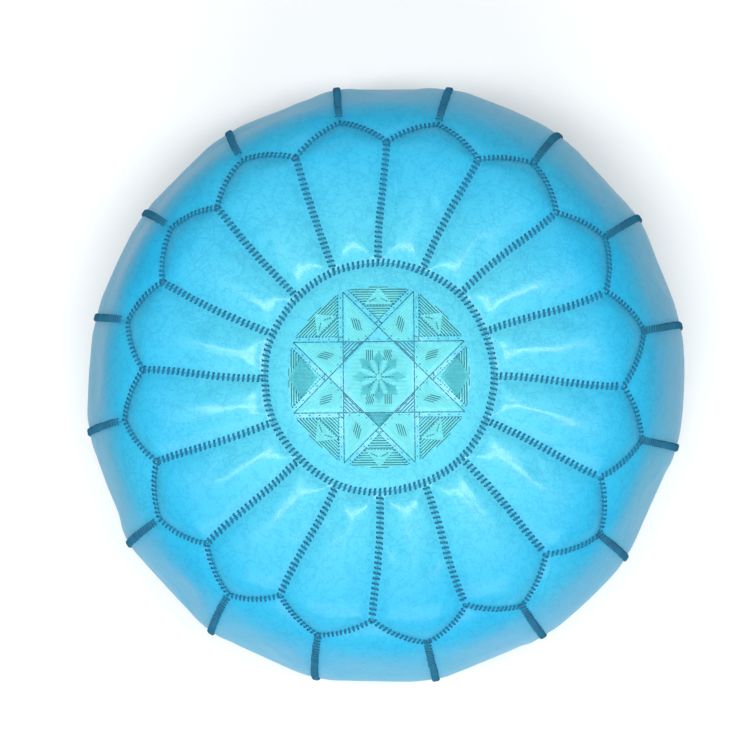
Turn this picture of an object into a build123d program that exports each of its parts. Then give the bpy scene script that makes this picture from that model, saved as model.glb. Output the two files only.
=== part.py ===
from build123d import *
import math
import os

# A round leather floor pouf, standing on its base with +Z up and its origin at the centre of the base.
# The cover is a medallion, a ring of petals that end in points, tall side panels that interlock with those
# points, and two base halves joined by a zip. Embroidered braids cover the seams. A cotton bag holds the
# stuffing. All sizes are in millimetres.

# --- the stuffed form: four tangent arcs and a flat base, turned about the Z axis ------------------------
OUTER_RADIUS = 275.0
HEIGHT = 340.0
SHOULDER_ARC = 75.0
CROWN_RISE = 13.0
BELLY_ARC = 260.0
BELLY_HEIGHT = 165.0
HEEL_ARC = 60.0

# --- the leather cover -----------------------------------------------------------------------------------
PANEL_COUNT = 16
LEATHER = 2.0
SEAM_GAP = 0.4
MEDALLION_RADIUS = 98.0
TIP_SETBACK = 46.0
PETAL_POINT = 21.0
PETAL_EDGE_BOW = 1.6
BASE_SEAM_MARGIN = 10.0

# --- the embroidered braids over the seams ---------------------------------------------------------------
BRAID_WIDTH = 7.4
EDGE_BRAID_WIDTH = 6.4
BRAID_HEIGHT = 2.0
BRAID_CLEARANCE = 0.1
BRAID_END_GAP = 0.2
BRAID_FOOT_HEIGHT = 14.0

# --- the silk star on the medallion ----------------------------------------------------------------------
STAR_MARGIN = 20.0
STAR_POINTS = 8
STAR_STEP = 3
STAR_LINE_WIDTH = 1.4
STAR_LINE_HEIGHT = 0.6

# --- the bag and what fills it ---------------------------------------------------------------------------
LAYER_CLEARANCE = 0.4
BAG_CLOTH = 1.0

# --- the zip across the base, outer face downwards -------------------------------------------------------
ZIP_END_MARGIN = 25.0
SLOT_HALF_WIDTH = 8.0
HEM_WIDTH = 8.0
HEM_HEIGHT = 6.0
TAPE_THICKNESS = 0.7
TAPE_EDGE = 17.0
TAPE_OVERRUN = 9.0
COIL_HALF_WIDTH = 3.5
COIL_HEIGHT = 2.8
COIL_SPINE = 0.9
COIL_PITCH = 2.4
COIL_TOOTH = 1.3
COIL_CENTRE_GAP = 0.5
STOP_LENGTH = 3.0
STOP_OVERHANG = 0.7
STOP_PROUD = 0.2
ZIP_PLAY = 0.4

# --- the zip slider and its pull -------------------------------------------------------------------------
SLIDER_LENGTH = 16.0
SLIDER_NOSE_WIDTH = 12.4
SLIDER_TAIL_WIDTH = 11.0
PLATE = 1.2
FLANGE = 1.1
SLIDER_CORNER = 1.0
COIL_PLAY = 0.2
TAPE_SLOT_PLAY = 0.4
POST_WIDTH = 0.8
POST_LENGTH = 4.0
POST_SETBACK = 1.0
BRIDGE_WIDTH = 2.0
BRIDGE_LENGTH = 9.0
BRIDGE_BAR = 1.0
BRIDGE_ROOT = 0.2
PULL_THICKNESS = 1.2
PULL_PLAY = 0.3
PULL_LENGTH = 20.0
PULL_WIDTH = 7.0
PULL_WINDOW = 6.5
PULL_WINDOW_PLAY = 0.6
PULL_EYE_RADIUS = 1.4
PULL_END_PLAY = 2.0

# --- places worked out from the sizes above --------------------------------------------------------------
PITCH_ANGLE = 360.0 / PANEL_COUNT
TIP_RADIUS = OUTER_RADIUS - TIP_SETBACK
VALLEY_RADIUS = TIP_RADIUS - PETAL_POINT
TALL = 2 * HEIGHT
WIDE = 3 * OUTER_RADIUS


def arc_centres():
    """Centres (r, z) of the crown, shoulder, belly and heel arcs, and the crown's radius."""
    belly = (OUTER_RADIUS - BELLY_ARC, BELLY_HEIGHT)
    shoulder_z = HEIGHT - SHOULDER_ARC - CROWN_RISE
    reach = BELLY_ARC - SHOULDER_ARC
    shoulder_r = belly[0] + math.sqrt(reach**2 - (shoulder_z - BELLY_HEIGHT) ** 2)
    drop = HEIGHT - shoulder_z
    crown_arc = (shoulder_r**2 + drop**2 - SHOULDER_ARC**2) / (2 * CROWN_RISE)
    heel_reach = BELLY_ARC - HEEL_ARC
    heel_r = belly[0] + math.sqrt(heel_reach**2 - (BELLY_HEIGHT - HEEL_ARC) ** 2)
    return {
        "crown": (0.0, HEIGHT - crown_arc),
        "shoulder": (shoulder_r, shoulder_z),
        "belly": belly,
        "heel": (heel_r, HEEL_ARC),
        "crown_arc": crown_arc,
    }


CENTRES = arc_centres()
BASE_RADIUS = CENTRES["heel"][0] - BASE_SEAM_MARGIN


def bearing(start, end):
    """Angle in radians of the line from one (r, z) point to another."""
    return math.atan2(end[1] - start[1], end[0] - start[0])


def on_arc(centre, radius, angle):
    """Point of a profile arc, in the XZ plane."""
    return (centre[0] + radius * math.cos(angle), 0.0, centre[1] + radius * math.sin(angle))


def arc_between(centre, radius, first, last):
    """Profile arc from one angle to another."""
    middle = (first + last) / 2
    return ThreePointArc(*(on_arc(centre, radius, a) for a in (first, middle, last)))


def form(inset):
    """The stuffed form as a solid, its surface moved inwards by inset (outwards if negative)."""
    crown, shoulder, belly, heel = (CENTRES[n] for n in ("crown", "shoulder", "belly", "heel"))
    crown_end = bearing(crown, shoulder)
    shoulder_end = bearing(belly, shoulder)
    belly_end = bearing(belly, heel)
    half = [
        arc_between(crown, CENTRES["crown_arc"] - inset, math.pi / 2, crown_end),
        arc_between(shoulder, SHOULDER_ARC - inset, crown_end, shoulder_end),
        arc_between(belly, BELLY_ARC - inset, shoulder_end, belly_end),
        arc_between(heel, HEEL_ARC - inset, belly_end, -math.pi / 2),
        Line((heel[0], 0, inset), (0, 0, inset)),
        Line((0, 0, inset), (0, 0, HEIGHT - inset)),
    ]
    return revolve(make_face(half), Axis.Z)


def skin(outer, inner):
    """The layer of the form between two insets."""
    return form(outer) - form(inner)


def polar(radius, degrees):
    """Point in plan at a radius and an angle."""
    return (radius * math.cos(math.radians(degrees)), radius * math.sin(math.radians(degrees)))


def petal_ring(extra=0.0):
    """Plan outline of the pointed edge of all the petals, as a face, its radii grown by extra."""
    edges = []
    half_pitch = PITCH_ANGLE / 2
    middle_radius = (TIP_RADIUS + VALLEY_RADIUS) / 2 + PETAL_EDGE_BOW + extra
    for number in range(PANEL_COUNT):
        valley = polar(VALLEY_RADIUS + extra, number * PITCH_ANGLE)
        tip = polar(TIP_RADIUS + extra, number * PITCH_ANGLE + half_pitch)
        next_valley = polar(VALLEY_RADIUS + extra, (number + 1) * PITCH_ANGLE)
        rise = polar(middle_radius, number * PITCH_ANGLE + half_pitch / 2)
        fall = polar(middle_radius, (number + 1) * PITCH_ANGLE - half_pitch / 2)
        edges += [ThreePointArc(valley, rise, tip), ThreePointArc(tip, fall, next_valley)]
    return make_face(edges)


def above(face):
    """A plan face extruded from the belly's height to well over the crown."""
    return Pos(0, 0, BELLY_HEIGHT) * extrude(face, HEIGHT)


def disc(radius):
    """A flat disc in plan."""
    return make_face([CenterArc((0, 0), radius, 0, 360)])


def seam_slabs(width, first_angle):
    """Thin upright slabs across the whole form, one for each pair of opposite seams."""
    return [
        Rot(0, 0, first_angle + number * PITCH_ANGLE) * Box(WIDE, width, 2 * TALL)
        for number in range(PANEL_COUNT // 2)
    ]


def by_angle(shape, first_angle):
    """The solids of a shape in order of their angle about Z, counted from first_angle."""
    def turn(solid):
        centre = solid.center(CenterOf.BOUNDING_BOX)
        return (math.degrees(math.atan2(centre.Y, centre.X)) - first_angle) % 360
    return sorted(shape.solids(), key=turn)


# --- the leather cover -----------------------------------------------------------------------------------
def make_medallion(leather):
    """The round centre of the top."""
    return leather & above(disc(MEDALLION_RADIUS - SEAM_GAP / 2))


def make_petals(leather):
    """The petals between the medallion and their pointed edge, in order of angle."""
    ring = above(petal_ring(-SEAM_GAP / 2)) - above(disc(MEDALLION_RADIUS + SEAM_GAP / 2))
    cut = (leather & ring) - seam_slabs(SEAM_GAP, 0)
    return by_angle(cut, 0)


def make_side_panels(leather):
    """The side panels, from the petals' points down and under to the base seam, in order of angle."""
    wall = leather - above(petal_ring(SEAM_GAP / 2))
    wall -= Cylinder(BASE_RADIUS + SEAM_GAP / 2, 4 * LEATHER)
    cut = wall - seam_slabs(SEAM_GAP, PITCH_ANGLE / 2)
    return by_angle(cut, PITCH_ANGLE / 2)


def slot_half_length():
    """Half the length of the opening in which the zip runs."""
    return BASE_RADIUS - ZIP_END_MARGIN


def make_base_half(side):
    """One half of the base, with its folded hem beside the zip; side is +1 for rear and -1 for front."""
    half_length = slot_half_length()
    plate = Pos(0, 0, LEATHER / 2) * Cylinder(BASE_RADIUS - SEAM_GAP / 2, LEATHER)
    keep = Pos(0, side * (WIDE / 2 + SEAM_GAP / 2), 0) * Box(WIDE, WIDE, TALL)
    slot = Box(2 * half_length, 2 * SLOT_HALF_WIDTH, TALL)
    hem_centre = side * (SLOT_HALF_WIDTH + HEM_WIDTH / 2)
    hem = Pos(0, hem_centre, HEM_HEIGHT / 2) * Box(2 * half_length, HEM_WIDTH, HEM_HEIGHT)
    return ((plate & keep) - slot) + hem


# --- the braids and the star -----------------------------------------------------------------------------
def braid_skin():
    """The layer in which the braids lie, just outside the leather."""
    return skin(-BRAID_CLEARANCE - BRAID_HEIGHT, -BRAID_CLEARANCE)


def make_medallion_braid(layer):
    """The braid round the medallion."""
    ring = disc(MEDALLION_RADIUS + BRAID_WIDTH / 2) - disc(MEDALLION_RADIUS - BRAID_WIDTH / 2)
    return layer & above(ring)


def make_edge_braid(layer):
    """The zigzag braid along the petals' pointed edge."""
    zigzag = petal_ring(EDGE_BRAID_WIDTH / 2) - petal_ring(-EDGE_BRAID_WIDTH / 2)
    return layer & above(zigzag)


def make_radial_braids(layer):
    """The braids between petals, one solid for each seam."""
    inner = above(disc(MEDALLION_RADIUS + BRAID_WIDTH / 2 + BRAID_END_GAP))
    reach = above(petal_ring(-EDGE_BRAID_WIDTH / 2 - BRAID_END_GAP)) - inner
    return [part for slab in seam_slabs(BRAID_WIDTH, 0) for part in (layer & reach & slab).solids()]


def make_side_braids(layer):
    """The braids between side panels, from the petals' points down to the heel."""
    foot = Pos(0, 0, BRAID_FOOT_HEIGHT - TALL / 2) * Box(WIDE, WIDE, TALL)
    reach = layer - above(petal_ring(EDGE_BRAID_WIDTH / 2 + BRAID_END_GAP)) - foot
    slabs = seam_slabs(BRAID_WIDTH, PITCH_ANGLE / 2)
    return [part for slab in slabs for part in (reach & slab).solids()]


def make_star():
    """The eight-pointed star of silk lines on the medallion."""
    radius = MEDALLION_RADIUS - STAR_MARGIN
    step = 360.0 / STAR_POINTS
    lines = None
    for number in range(STAR_POINTS):
        start = Vector(*polar(radius, (number + 0.5) * step))
        end = Vector(*polar(radius, (number + 0.5 + STAR_STEP) * step))
        middle = (start + end) / 2
        angle = math.degrees(math.atan2(end.Y - start.Y, end.X - start.X))
        bar = Rectangle((end - start).length, STAR_LINE_WIDTH)
        placed = Pos(middle.X, middle.Y) * Rot(0, 0, angle) * bar
        lines = placed if lines is None else lines + placed
    layer = skin(-BRAID_CLEARANCE - STAR_LINE_HEIGHT, -BRAID_CLEARANCE)
    return layer & above(lines)


# --- the bag and the stuffing ----------------------------------------------------------------------------
def zip_room(extra):
    """The hollow kept free for the zip and the travel of its slider, grown by extra."""
    top = slider_top() + 2 * LAYER_CLEARANCE + extra
    half_length = slot_half_length() + TAPE_OVERRUN + LAYER_CLEARANCE + extra
    half_width = TAPE_EDGE + LAYER_CLEARANCE + extra
    return Box(2 * half_length, 2 * half_width, 2 * top)


def make_bag():
    """The closed cotton bag, a thin shell that follows the cover and steps over the zip."""
    outer = form(LEATHER + LAYER_CLEARANCE) - zip_room(0)
    return outer - (form(LEATHER + LAYER_CLEARANCE + BAG_CLOTH) - zip_room(BAG_CLOTH))


def make_stuffing():
    """The packed wadding that fills the bag."""
    depth = LEATHER + 2 * LAYER_CLEARANCE + BAG_CLOTH
    return form(depth) - zip_room(BAG_CLOTH + LAYER_CLEARANCE)


# --- the zip ---------------------------------------------------------------------------------------------
def tape_middle():
    """Height of the tape's middle plane, in which the coils are centred."""
    return HEM_HEIGHT + TAPE_THICKNESS / 2


def plate_face():
    """Height of the slider's outer face, which looks down."""
    return tape_middle() - COIL_HEIGHT / 2 - COIL_PLAY - PLATE


def slider_top():
    """Height of the slider's inner face."""
    return tape_middle() + COIL_HEIGHT / 2 + COIL_PLAY + PLATE


def pivot_height():
    """Height of the crossbar on which the pull swings."""
    return plate_face() - PULL_PLAY - PULL_THICKNESS / 2


def slider_reach():
    """Distance from the middle of the base to the slider when the zip is shut or open."""
    return slot_half_length() - PULL_LENGTH - PULL_END_PLAY


def coil_half_length():
    """Half the length of the coils, which end at the stops."""
    return slider_reach() + SLIDER_LENGTH / 2 + ZIP_PLAY


def make_tape(side):
    """One zip tape, lying on its hem."""
    half_length = slot_half_length() + TAPE_OVERRUN
    width = TAPE_EDGE - COIL_HALF_WIDTH
    centre = side * (COIL_HALF_WIDTH + width / 2)
    return Pos(0, centre, tape_middle()) * Box(2 * half_length, width, TAPE_THICKNESS)


def make_coil(side):
    """One row of teeth on its spine; the two rows are half a pitch apart."""
    half_length = coil_half_length()
    spine_edge = COIL_HALF_WIDTH - COIL_SPINE
    count = int((2 * half_length - COIL_PITCH) // COIL_PITCH)
    stagger = 0 if side > 0 else COIL_PITCH / 2
    first = -half_length + COIL_PITCH / 4 + stagger
    points = [(-half_length, COIL_HALF_WIDTH), (-half_length, spine_edge)]
    for number in range(count):
        left = first + number * COIL_PITCH
        right = left + COIL_TOOTH
        points += [(left, spine_edge), (left, COIL_CENTRE_GAP)]
        points += [(right, COIL_CENTRE_GAP), (right, spine_edge)]
    points += [(half_length, spine_edge), (half_length, COIL_HALF_WIDTH)]
    outline = make_face(Polyline(*[(x, side * y) for x, y in points], close=True))
    row = extrude(outline, COIL_HEIGHT)
    bottom = row.bounding_box().min.Z
    return Pos(0, 0, tape_middle() - COIL_HEIGHT / 2 - bottom) * row


def stop_block(low_y, high_y, near_end):
    """A stop clamped over the tape edge, next to the coils' end on the side near_end."""
    height = COIL_HEIGHT + 2 * STOP_PROUD
    centre_x = near_end * (coil_half_length() + ZIP_PLAY / 2 + STOP_LENGTH / 2)
    place = Pos(centre_x, (low_y + high_y) / 2, tape_middle())
    return place * Box(STOP_LENGTH, high_y - low_y, height)


def make_top_stops(tapes):
    """The two stops at the shut end, one on each tape."""
    edge = COIL_HALF_WIDTH + STOP_OVERHANG
    blocks = [stop_block(COIL_CENTRE_GAP, edge, 1), stop_block(-edge, -COIL_CENTRE_GAP, 1)]
    return [block - tapes for block in blocks]


def make_bottom_stop(tapes):
    """The stop at the open end, across both tapes."""
    edge = COIL_HALF_WIDTH + STOP_OVERHANG
    return stop_block(-edge, edge, -1) - tapes


def slider_outline(shrink=0.0):
    """Plan of the slider about its own middle, narrower at its tail; shrink moves the sides in."""
    nose, tail, half = SLIDER_NOSE_WIDTH / 2, SLIDER_TAIL_WIDTH / 2, SLIDER_LENGTH / 2
    nose, tail = nose - shrink, tail - shrink
    corners = [(half, -nose), (half, nose), (0, nose), (-half, tail), (-half, -tail), (0, -nose)]
    return make_face(Polyline(*corners, close=True))


def make_slider():
    """The slider, shut against the top stops: two plates, their flanges, the post and the bridge."""
    low, high = plate_face(), slider_top()
    block = Pos(0, 0, low) * extrude(slider_outline(), high - low)
    block = fillet(block.edges().filter_by(Axis.Z), SLIDER_CORNER)
    channel = Pos(0, 0, low + PLATE) * extrude(slider_outline(FLANGE), high - low - 2 * PLATE)
    tail_width = 2 * (SLIDER_TAIL_WIDTH / 2 - FLANGE)
    mouth = Pos(0, 0, tape_middle()) * Box(2 * SLIDER_LENGTH, tail_width, high - low - 2 * PLATE)
    tape_slot = Pos(0, 0, tape_middle()) * Box(
        2 * SLIDER_LENGTH, 2 * SLIDER_NOSE_WIDTH, TAPE_THICKNESS + 2 * TAPE_SLOT_PLAY
    )
    post_x = SLIDER_LENGTH / 2 - POST_LENGTH / 2 - POST_SETBACK
    post = Pos(post_x, 0, tape_middle()) * Box(POST_LENGTH, POST_WIDTH, high - low - PLATE)
    gap_low = pivot_height() - PULL_THICKNESS / 2 - PULL_PLAY
    arch_low, arch_high = gap_low - BRIDGE_BAR, low + BRIDGE_ROOT
    arch = Pos(0, 0, (arch_low + arch_high) / 2) * Box(BRIDGE_LENGTH, BRIDGE_WIDTH, arch_high - arch_low)
    gap = Pos(0, 0, (gap_low + low) / 2) * Box(BRIDGE_LENGTH - 2 * BRIDGE_BAR, 2 * BRIDGE_WIDTH, low - gap_low)
    slider = (block - channel - mouth - tape_slot) + post + (arch - gap)
    return Pos(slider_reach(), 0, 0) * slider


def make_pull():
    """The pull, lying back along the zip from its crossbar in the slider's bridge."""
    body_length = PULL_LENGTH - PULL_WIDTH / 2
    blade = Pos(-body_length / 2, 0, 0) * Box(body_length, PULL_WIDTH, PULL_THICKNESS)
    blade += Pos(-body_length, 0, 0) * Cylinder(PULL_WIDTH / 2, PULL_THICKNESS)
    blade += Rot(90, 0, 0) * Cylinder(PULL_THICKNESS / 2, PULL_WIDTH)
    window_start = -PULL_THICKNESS / 2
    window_centre = (window_start - PULL_WINDOW) / 2
    window_length = PULL_WINDOW + window_start
    window_width = BRIDGE_WIDTH + 2 * PULL_WINDOW_PLAY
    blade -= Pos(window_centre, 0, 0) * Box(window_length, window_width, 2 * PULL_THICKNESS)
    blade -= Pos(-body_length, 0, 0) * Cylinder(PULL_EYE_RADIUS, 2 * PULL_THICKNESS)
    return Pos(slider_reach(), 0, pivot_height()) * blade


# --- writing the parts -----------------------------------------------------------------------------------
def as_group(solids):
    """Several separate solids as one shape."""
    return Compound(children=list(solids))


def build_nodes():
    """Every sub-part by its name."""
    leather = skin(0, LEATHER)
    layer = braid_skin()
    nodes = {"medallion": make_medallion(leather)}
    for number, petal in enumerate(make_petals(leather), 1):
        nodes[f"petal_{number:02d}"] = petal
    for number, panel in enumerate(make_side_panels(leather), 1):
        nodes[f"side_panel_{number:02d}"] = panel
    nodes["base_half_front"] = make_base_half(-1)
    nodes["base_half_rear"] = make_base_half(1)
    nodes["medallion_braid"] = make_medallion_braid(layer)
    nodes["radial_braids"] = as_group(make_radial_braids(layer))
    nodes["petal_edge_braid"] = make_edge_braid(layer)
    nodes["side_braids"] = as_group(make_side_braids(layer))
    nodes["silk_star"] = make_star()
    nodes["cotton_bag"] = make_bag()
    nodes["stuffing"] = make_stuffing()
    tapes = [make_tape(-1), make_tape(1)]
    nodes["zip_tape_front"], nodes["zip_tape_rear"] = tapes
    nodes["zip_coil_front"] = make_coil(-1)
    nodes["zip_coil_rear"] = make_coil(1)
    nodes["zip_top_stops"] = as_group(make_top_stops(tapes))
    nodes["zip_bottom_stop"] = make_bottom_stop(tapes)
    nodes["zip_slider"] = make_slider()
    nodes["zip_pull"] = make_pull()
    return nodes


os.makedirs("parts", exist_ok=True)
for name, shape in build_nodes().items():
    export_step(shape, f"parts/{name}.step")
print(f"base seam radius {BASE_RADIUS:.2f}, slider reach {slider_reach():.2f}, pivot height {pivot_height():.2f}")
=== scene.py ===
"""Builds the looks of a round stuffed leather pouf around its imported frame.

The cover is a medallion, sixteen petals, sixteen side panels and two base halves. The medallion, the petals
and the side panels are cut as grids, laid on the stuffed form and puffed out by cloth simulation between
their stitched edges. The base halves, the cotton bag and the wadding are shaped point by point. Thick thread
stitches cover the seams, a silk star decorates the medallion, and a zip closes the base.
"""

import logging
import math
import random
from dataclasses import dataclass, field
from enum import Enum
from typing import Callable, Iterable, Sequence

import bmesh
import bpy
from mathutils import Matrix, Vector, noise
from mathutils.bvhtree import BVHTree


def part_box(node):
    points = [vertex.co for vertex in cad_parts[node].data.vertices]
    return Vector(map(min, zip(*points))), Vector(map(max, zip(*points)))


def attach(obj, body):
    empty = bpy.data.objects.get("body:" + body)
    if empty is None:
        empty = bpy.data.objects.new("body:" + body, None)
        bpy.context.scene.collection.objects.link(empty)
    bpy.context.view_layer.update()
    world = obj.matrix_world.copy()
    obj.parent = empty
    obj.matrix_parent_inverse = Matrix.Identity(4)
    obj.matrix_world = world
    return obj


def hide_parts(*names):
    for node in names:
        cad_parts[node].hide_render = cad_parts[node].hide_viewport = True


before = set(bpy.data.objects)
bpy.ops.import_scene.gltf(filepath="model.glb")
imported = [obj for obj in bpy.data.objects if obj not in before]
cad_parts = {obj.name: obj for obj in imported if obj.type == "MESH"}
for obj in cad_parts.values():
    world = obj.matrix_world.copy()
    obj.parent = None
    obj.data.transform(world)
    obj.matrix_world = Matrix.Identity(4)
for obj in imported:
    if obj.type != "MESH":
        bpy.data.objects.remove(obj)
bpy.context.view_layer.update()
LOG = logging.getLogger("pouf")
BODY = "pouf"
Colour = tuple[float, float, float]
Socket = bpy.types.NodeSocket
Point = tuple[float, float]


# --- the stuffed form ------------------------------------------------------------------------------------
@dataclass(frozen=True)
class Arc:
    """One arc of the meridian, run from its start angle downwards.

    Attributes:
        centre: Radius and height of the arc's centre.
        radius: Radius of the arc.
        start: Angle at which the arc starts.
        end: Angle at which the arc ends.
    """

    centre: tuple[float, float]
    radius: float
    start: float
    end: float

    @property
    def length(self) -> float:
        """Length of the arc."""
        return self.radius * (self.start - self.end)

    def at(self, run: float) -> tuple[float, float, float, float]:
        """Radius, height and outward direction (radial, upward) after a run along the arc."""
        angle = self.start - run / self.radius
        cos, sin = math.cos(angle), math.sin(angle)
        return self.centre[0] + self.radius * cos, self.centre[1] + self.radius * sin, cos, sin


def smooth(value: float, low: float, high: float) -> float:
    """A soft step of value from 0 at low to 1 at high."""
    share = min(1.0, max(0.0, (value - low) / (high - low)))
    return share * share * (3 - 2 * share)


@dataclass
class StuffedForm:
    """The stuffed pouf as tangent arcs turned about its axis, with the small faults of handwork.

    Attributes:
        outer_radius: Greatest radius, at the side seams.
        height: Height of the crown over the floor.
        panels: Number of petals, and of side panels.
        shoulder: Radius of the shoulder arc.
        crown_rise: How far the crown stands over the shoulder's top.
        belly: Radius of the belly arc.
        belly_height: Height of the widest place.
        heel: Radius of the heel arc.
        medallion: Radius of the medallion's seam.
        valley: Radius of the inner corners of the petals' pointed edge.
        tip: Radius of the petals' points.
        bow: How far each half of a petal's point bows outwards.
        base_seam: Radius of the seam round the base.
        twist: How far the top is turned against the sides by its stuffing.
        wobble: Greatest sideways fault of a seam, as an angle.
        drift: Greatest fault of a seam along the meridian.
        steady: Runs between which these two faults set in.
        fault_rates: How fast they change round the axis, along the top and along the sides.
        slip: How far the petals' edge lies off centre, along x and y.
        oval: How far the belly bulges along one line across it, and draws in across that line.
        oval_at: Direction of that line.
        slouch: How far the belly leans to one side.
        slouch_at: Direction in which it leans.
        sag: How unevenly the side panels draw flat.
        draw: Run below the petals' points over which the sides draw flat.
        arcs: The meridian's arcs, from the crown to the heel.
    """

    outer_radius: float
    height: float
    medallion: float
    valley: float
    tip: float
    base_seam: float
    panels: int = 16
    shoulder: float = 0.075
    crown_rise: float = 0.013
    belly: float = 0.260
    belly_height: float = 0.165
    heel: float = 0.060
    bow: float = 0.0022
    twist: float = math.radians(2.2)
    wobble: float = math.radians(1.3)
    drift: float = 0.004
    steady: tuple[float, float] = (0.06, 0.17)
    fault_rates: tuple[float, float, float] = (2.2, 9.0, 4.0)
    slip: tuple[float, float] = (0.0042, -0.0024)
    oval: float = 0.0034
    oval_at: float = math.radians(52)
    slouch: float = 0.0022
    slouch_at: float = math.radians(-35)
    sag: float = 0.9
    draw: float = 0.07
    arcs: list[Arc] = field(init=False)

    def __post_init__(self) -> None:
        """Works out the tangent arcs from the sizes."""
        belly = (self.outer_radius - self.belly, self.belly_height)
        shoulder_z = self.height - self.shoulder - self.crown_rise
        rise = shoulder_z - self.belly_height
        shoulder = (belly[0] + math.sqrt((self.belly - self.shoulder) ** 2 - rise**2), shoulder_z)
        drop = self.height - shoulder_z
        crown_radius = (shoulder[0] ** 2 + drop**2 - self.shoulder**2) / (2 * self.crown_rise)
        crown = (0.0, self.height - crown_radius)
        sink = self.belly_height - self.heel
        heel = (belly[0] + math.sqrt((self.belly - self.heel) ** 2 - sink**2), self.heel)
        crown_end = math.atan2(shoulder[1] - crown[1], shoulder[0])
        shoulder_end = math.atan2(rise, shoulder[0] - belly[0])
        belly_end = -math.atan2(sink, heel[0] - belly[0])
        self.arcs = [
            Arc(crown, crown_radius, math.pi / 2, crown_end),
            Arc(shoulder, self.shoulder, crown_end, shoulder_end),
            Arc(belly, self.belly, shoulder_end, belly_end),
            Arc(heel, self.heel, belly_end, -math.pi / 2),
        ]

    @property
    def pitch(self) -> float:
        """Angle from one petal to the next."""
        return 2 * math.pi / self.panels

    @property
    def heel_run(self) -> float:
        """Run along the meridian from the pole to where the form lies flat on the floor."""
        return sum(arc.length for arc in self.arcs)

    @property
    def base_run(self) -> float:
        """Run along the meridian from the pole to the base seam."""
        return self.heel_run + self.arcs[-1].centre[0] - self.base_seam

    def meridian(self, run: float) -> tuple[float, float, float, float]:
        """Radius, height and outward direction at a run along the meridian.

        Args:
            run: Distance from the pole of the crown, along the surface.

        Returns:
            The radius, the height, and the radial and upward parts of the outward direction.
        """
        left = run
        for arc in self.arcs:
            if left <= arc.length:
                return arc.at(left)
            left -= arc.length
        return self.arcs[-1].centre[0] - left, 0.0, 0.0, -1.0

    def run_at(self, radius: float) -> float:
        """Run along the meridian at which the top of the form reaches a radius."""
        crown, shoulder = self.arcs[0], self.arcs[1]
        if radius <= crown.at(crown.length)[0]:
            return crown.radius * math.asin(radius / crown.radius)
        angle = math.acos((radius - shoulder.centre[0]) / shoulder.radius)
        return crown.length + shoulder.radius * (shoulder.start - angle)

    def edge_radius(self, angle: float) -> float:
        """Radius of the petals' pointed edge at an angle; valleys lie at whole pitches."""
        share = abs((angle / self.pitch) % 1.0 - 0.5) * 2
        off_centre = self.slip[0] * math.cos(angle) + self.slip[1] * math.sin(angle)
        edge = self.tip + (self.valley - self.tip) * share + 4 * self.bow * share * (1 - share)
        return edge + off_centre * (1 - share / 2)

    def flatness(self, run: float) -> float:
        """How far the side has drawn flat between its seams, from 0 on the top and base to 1."""
        top = self.run_at(self.tip)
        belly_end = self.heel_run - self.arcs[-1].length
        return smooth(run, top, top + self.draw) * (1 - smooth(run, belly_end, self.heel_run))

    def place(self, angle: float, run: float, lift: float = 0.0) -> Vector:
        """Point of the form's surface.

        Args:
            angle: Angle about the axis.
            run: Distance from the pole, along the surface.
            lift: Height over the surface.

        Returns:
            The point, with the faults of handwork in it.
        """
        round_rate, top_rate, side_rate = self.fault_rates
        depth = top_rate * min(run, self.tip) + side_rate * max(0.0, run - self.tip)
        where = Vector((round_rate * math.cos(angle), round_rate * math.sin(angle), depth))
        fade = smooth(run, *self.steady)
        run += self.drift * fade * noise.noise(where + Vector((7.0, 3.0, 1.0)))
        radius, height, out, up = self.meridian(run)
        number = round(angle / self.pitch)
        middle = angle - number * self.pitch
        chord = math.cos(self.pitch / 2) / math.cos(middle)
        uneven = 1 + self.sag * noise.noise(Vector((number % self.panels * 1.7, 4.3, 0.6)))
        flat = self.flatness(run)
        radius *= 1 + (chord - 1) * flat * uneven
        radius += flat * self.oval * math.cos(2 * (angle - self.oval_at))
        radius += flat * self.slouch * math.cos(angle - self.slouch_at)
        on_top = run < self.run_at(self.tip) + self.drift
        turn = self.twist * (1 - smooth(radius, self.medallion, self.valley) if on_top else 0.0)
        turned = angle + turn + self.wobble * fade * noise.noise(where)
        radius, height = radius + lift * out, height + lift * up
        return Vector((radius * math.cos(turned), radius * math.sin(turned), height))

    def normal(self, angle: float, run: float) -> Vector:
        """Outward direction of the surface, from two small steps along it."""
        step = 0.001
        along = self.place(angle, run + step) - self.place(angle, run - step)
        turn = step / max(self.meridian(run)[0], step)
        across = self.place(angle + turn, run) - self.place(angle - turn, run)
        return along.cross(across).normalized()


# --- mesh helpers ----------------------------------------------------------------------------------------
def grid(columns: int, rows: int) -> bmesh.types.BMesh:
    """A flat grid; its vertices' x and y are whole column and row numbers."""
    bm = bmesh.new()
    bmesh.ops.create_grid(bm, x_segments=columns, y_segments=rows, size=0.5)
    for vert in bm.verts:
        vert.co = Vector((round((vert.co.x + 0.5) * columns), round((vert.co.y + 0.5) * rows), 0.0))
    return bm


def spread(index: float, count: int, width: float, band: float, tuck: float = 0.0007) -> float:
    """Distance of a grid line from its panel's first seam, with a stitched band of fixed width at both ends.

    Args:
        index: Number of the grid line.
        count: Number of the last grid line.
        width: Width of the panel.
        band: Width of the band that the seam's stitches hold flat.
        tuck: How far the panel's edge is tucked past the seam.

    Returns:
        The distance of the line from the first seam.
    """
    if index <= 0:
        return -tuck
    if index >= count:
        return width + tuck
    return band + (index - 1) / (count - 2) * (width - 2 * band)


def finish_mesh(name: str, bm: bmesh.types.BMesh) -> bpy.types.Object:
    """Turns a bmesh into an object at the origin, with smooth shading, and frees the bmesh."""
    mesh = bpy.data.meshes.new(name)
    bm.to_mesh(mesh)
    bm.free()
    mesh.shade_smooth()
    thing = bpy.data.objects.new(name, mesh)
    bpy.context.scene.collection.objects.link(thing)
    return thing


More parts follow.
